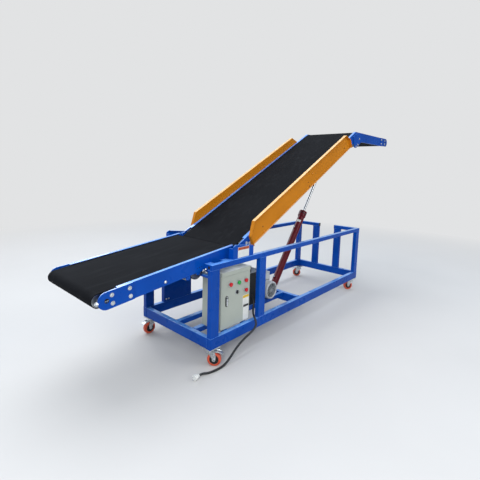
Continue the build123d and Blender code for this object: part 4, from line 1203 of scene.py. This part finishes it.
pin_caps("base_pin_caps", base_pin, 41, "chassis", on_chassis)
pin_caps("eye_pin_caps", eye_pin, 50, "boom", on_boom)
bm = bmesh.new()
ring_loop(bm, ((15.4, -18.5), (28, -18.5), (30.6, -16), (30.6, 16), (28, 18.5), (15.4, 18.5)),
          aim((pin_to_eye, 0, 0), (0, -1, 0)), 48)
ring_loop(bm, ((14.2, neck[0]), (19, neck[1]), (22, neck[2]), (22, neck[3]), (14.2, neck[3])), along, 48)
piece("rod_eye_sleeve", bm, maroon_enamel, "rod", on_cylinder)
print("pin to eye", pin_to_eye, "mm")

# %% [markdown]
# The fork of a caster is pressed from zinc plated sheet: a top plate, and two legs whose outline
# sweeps back to the axle. It turns on a ball race of two dished rings under the machine's plate.
# The legs are one outline sawn from plate, with an arc of a few steps round the axle.

# %% Caster fork
trail = 28
wheel_r = 50
leg_outline = [(-26, 109), (-25, 101), (-20, 95), (-8, 86), (4, 74), (12, 61), (15.5, 51)]
leg_outline += [(trail + 12.5 * math.cos(math.radians(a)), wheel_r + 12.5 * math.sin(math.radians(a)))
                for a in range(190, 351, 16)]
leg_outline += [(41.5, 56), (42.5, 68), (41, 82), (37, 96), (34, 104), (34, 109)]
race_profile = ((0, 109.5), (25, 109.5), (28.5, 111.5), (29.5, 115), (28, 118.6), (24.5, 120.3),
                (24.5, 121.3), (28.5, 123), (30, 127), (29, 130.6), (26, 131.6), (0, 131.6))


def caster_fork(name, spot):
    """The fork of one caster with its ball race, king bolt and axle bolts."""
    bm = bmesh.new()
    slab(bm, rounded(60, 46, 9), 4, Matrix.Translation((4, 0, 106)))
    for y in (-19, 23):
        slab(bm, leg_outline, 4, aim((0, y, 0), (0, -1, 0)))
    turn(bm, race_profile, Matrix.Identity(4), 48)
    turn(bm, ((0, 98), (9, 98), (10.6, 99), (10.6, 106.5), (0, 106.5)), Matrix.Identity(4), 6)
    bolt(bm, aim((trail, -23, wheel_r), (0, -1, 0)), 17, 5)
    bolt(bm, aim((trail, 23, wheel_r), (0, 1, 0)), 17, 6)
    piece("caster_fork_" + name, bm, zinc, "swivel_" + name, spot, ("fork_" + name,), edge=0.8)


print("caster fork with", len(leg_outline), "points in its leg")

# %% [markdown]
# The brake is a pedal that reaches out over the wheel: a bent strip between two side walls, with
# ribs across its toe for the shoe. Its curve lies in one plane, so strip and walls are sawn
# outlines too, and the ribs follow the slope of the toe.

# %% Caster brake
strip_outline = [(28, 106.2), (28, 109.4), (40, 110.4), (66, 107.6), (80, 102.2), (90.6, 95.4),
                 (91.2, 92.4), (79, 98.8), (65, 104.2), (40, 107)]
wall_outline = [(38, 103.5), (38, 114), (60, 112.4), (74, 107), (83, 101.6), (80, 97), (64, 102.2)]
toe_slope = math.radians(26)


def caster_brake(name, spot):
    """The brake pedal of one caster."""
    bm = bmesh.new()
    slab(bm, strip_outline, 34, aim((0, 17, 0), (0, -1, 0)))
    for y in (-16, 18):
        slab(bm, wall_outline, 2, aim((0, y, 0), (0, -1, 0)))
    for k in range(5):
        toe = Matrix.Translation((70 + 4.4 * k, 0, 105.6 - 2.35 * k))
        slab(bm, rounded(1.8, 30, 0.8, 2), 2.2, toe @ Matrix.Rotation(toe_slope, 4, "Y"))
    piece("caster_brake_" + name, bm, zinc, "swivel_" + name, spot, ("brake_" + name,), edge=0.5)


print("caster brake ready")

# %% [markdown]
# The wheel is an orange tread with rounded shoulders, cast round a black nylon hub. The hub is
# dished, with a thick rim and boss and five ribs on each face. Tread and hub are closed outlines
# spun round the axle, and the ribs are short slabs.

# %% Caster wheel
tread_profile = ((33.6, -16), (45.5, -16), (48, -15.2), (49.5, -13.2), (50, -10.5), (50, 10.5),
                 (49.5, 13.2), (48, 15.2), (45.5, 16), (33.6, 16))
hub_profile = ((5.3, -16), (11.5, -16), (12.5, -14.8), (13, -9), (28.6, -9), (29.6, -15),
               (30.6, -16.2), (33.8, -16.2), (33.8, 16.2), (30.6, 16.2), (29.6, 15), (28.6, 9),
               (13, 9), (12.5, 14.8), (11.5, 16), (5.3, 16))


def caster_wheel(name, spot):
    """The tread and the ribbed hub of one caster."""
    wheel = spot @ aim((trail, 0, wheel_r), (0, -1, 0))
    body = "wheel_" + name
    bm = bmesh.new()
    ring_loop(bm, tread_profile, Matrix.Identity(4), 72)
    piece("caster_tread_" + name, bm, polyurethane, body, wheel, ("tread_" + name,))
    bm = bmesh.new()
    ring_loop(bm, hub_profile, Matrix.Identity(4), 64)
    for k in range(5):
        for low in (-13.5, 8.5):
            rib = Matrix.Rotation(2 * math.pi * k / 5, 4, "Z") @ Matrix.Translation((21, 0, low))
            slab(bm, rounded(18, 3, 0.8, 2), 5, rib)
    piece("caster_hub_" + name, bm, black_plastic, body, wheel, ("hub_" + name,))


print("caster wheel", 2 * wheel_r, "mm across")

# %% [markdown]
# The four casters are the same part at four headings. Linked copies would share one mesh, but
# each caster rides on bodies of its own, so the three functions run once for each row of a table.
# The headings are those of the photograph. Four bolts hold each plate under the chassis.

# %% Four casters
# Columns: name, x and y of the swivel, heading in degrees.
caster_table = (("front_near", 50, -360, -55), ("front_far", 50, 360, 180),
                ("rear_near", 2350, -360, 140), ("rear_far", 2350, 360, 125))
plate_underside = 132
for name, x, y, heading in caster_table:
    spot = at(x, y, 0) @ Matrix.Rotation(math.radians(heading), 4, "Z")
    caster_fork(name, spot)
    caster_brake(name, spot)
    caster_wheel(name, spot)
bm = bmesh.new()
for _, x, y, _ in caster_table:
    for dx in (-40, 40):
        for dy in (-37, 37):
            bolt(bm, aim((x + dx, y + dy, plate_underside), (0, 0, -1)), 13, 5.3)
piece("caster_bolts", bm, zinc, "chassis")
print("casters:", len(caster_table))

# %% [markdown]
# A belt has to be pulled tight and straight. A screw at the end of each infeed side frame pushes
# the tail shaft outward, and the shaft's end shows in a dark ring in the plate, with a flat on it
# that keeps it from turning. The dark ring is painted shade, for the gap of the slot round the
# shaft.

# %% Belt tension screws and tail shaft
screw_spot = (-46, 321)
bm = bmesh.new()
for y, out in both(screw_spot[1]):
    spot = aim((screw_spot[0], y, 0), (-1, 0, 0))
    bolt(bm, spot, 22, 13, washer=False)
    turn(bm, ((0, 13), (6, 13), (6, 17), (5, 18), (0, 18)), spot, 24)
piece("tension_screws", bm, zinc, "chassis", on_feed)
bm = bmesh.new()
for y, out in both(plate_face):
    slab(bm, rounded(22, 6, 2), 0.8, aim((0, y, 0), (0, out, 0)))
piece("shaft_flats", bm, roller_steel, "chassis", on_feed)
# A ring of painted shade in the gap round each shaft end.
bm = bmesh.new()
for y, out in both(plate_face):
    ring_loop(bm, ((8.3, 0), (13.5, 0), (13.2, 0.4), (8.3, 0.4)), aim((0, y, 0), (0, out, 0)), 40)
piece("shaft_slots", bm, hole_dark, "chassis", on_feed)
print("tension screws on both sides")

# %% [markdown]
# Last come the small things that the eye misses only when they are gone: a side bolt on each
# infeed frame, three bolts at its drive end, the bolts of the far panel, a row of small drilled
# holes, and the dark ends of the rails. The holes and the rail ends are discs and slabs of painted
# shade, for the dark inside of the tube behind them.

# %% Small bolts and holes
frame_face = 325
panel_face = 370
side_bolt = (-311, 684)
drive_end_bolts = ((22, 699), (26, 676), (4, 695))
panel_bolts = ((203, 244), (229, 244), (203, 686), (386, 686))
# Columns: x, z and radius of each hole.
frame_holes = ((-52, 719, 3.5), (-34, 721, 3.5), (-14, 723, 3.5), (55, 705, 6))
bm = bmesh.new()
for y, out in both(frame_face):
    bolt(bm, aim((side_bolt[0], y, side_bolt[1]), (0, out, 0)), 13)
for x, z in panel_bolts:
    bolt(bm, aim((x, panel_face, z), (0, -1, 0)), 10, 4)
for y, out in both(frame_face):
    for x, z in drive_end_bolts:
        bolt(bm, aim((x, y, z), (0, out, 0)), 10, 6)
piece("frame_bolts", bm, zinc, "chassis")
# Discs and slabs of painted shade for the holes and the rail ends.
bm = bmesh.new()
for y, out in both(frame_face):
    for x, z, radius in frame_holes:
        hole(bm, aim((x, y, z), (0, out, 0)), radius)
for y, out in both(383):
    slab(bm, rounded(18, 20, 4), 0.3, aim((0, y, 725), (-1, 0, 0)))
piece("drilled_holes", bm, hole_dark, "chassis")
print("small bolts on each side:", 1 + len(drive_end_bolts))

# %% Finish
bpy.context.view_layer.update()
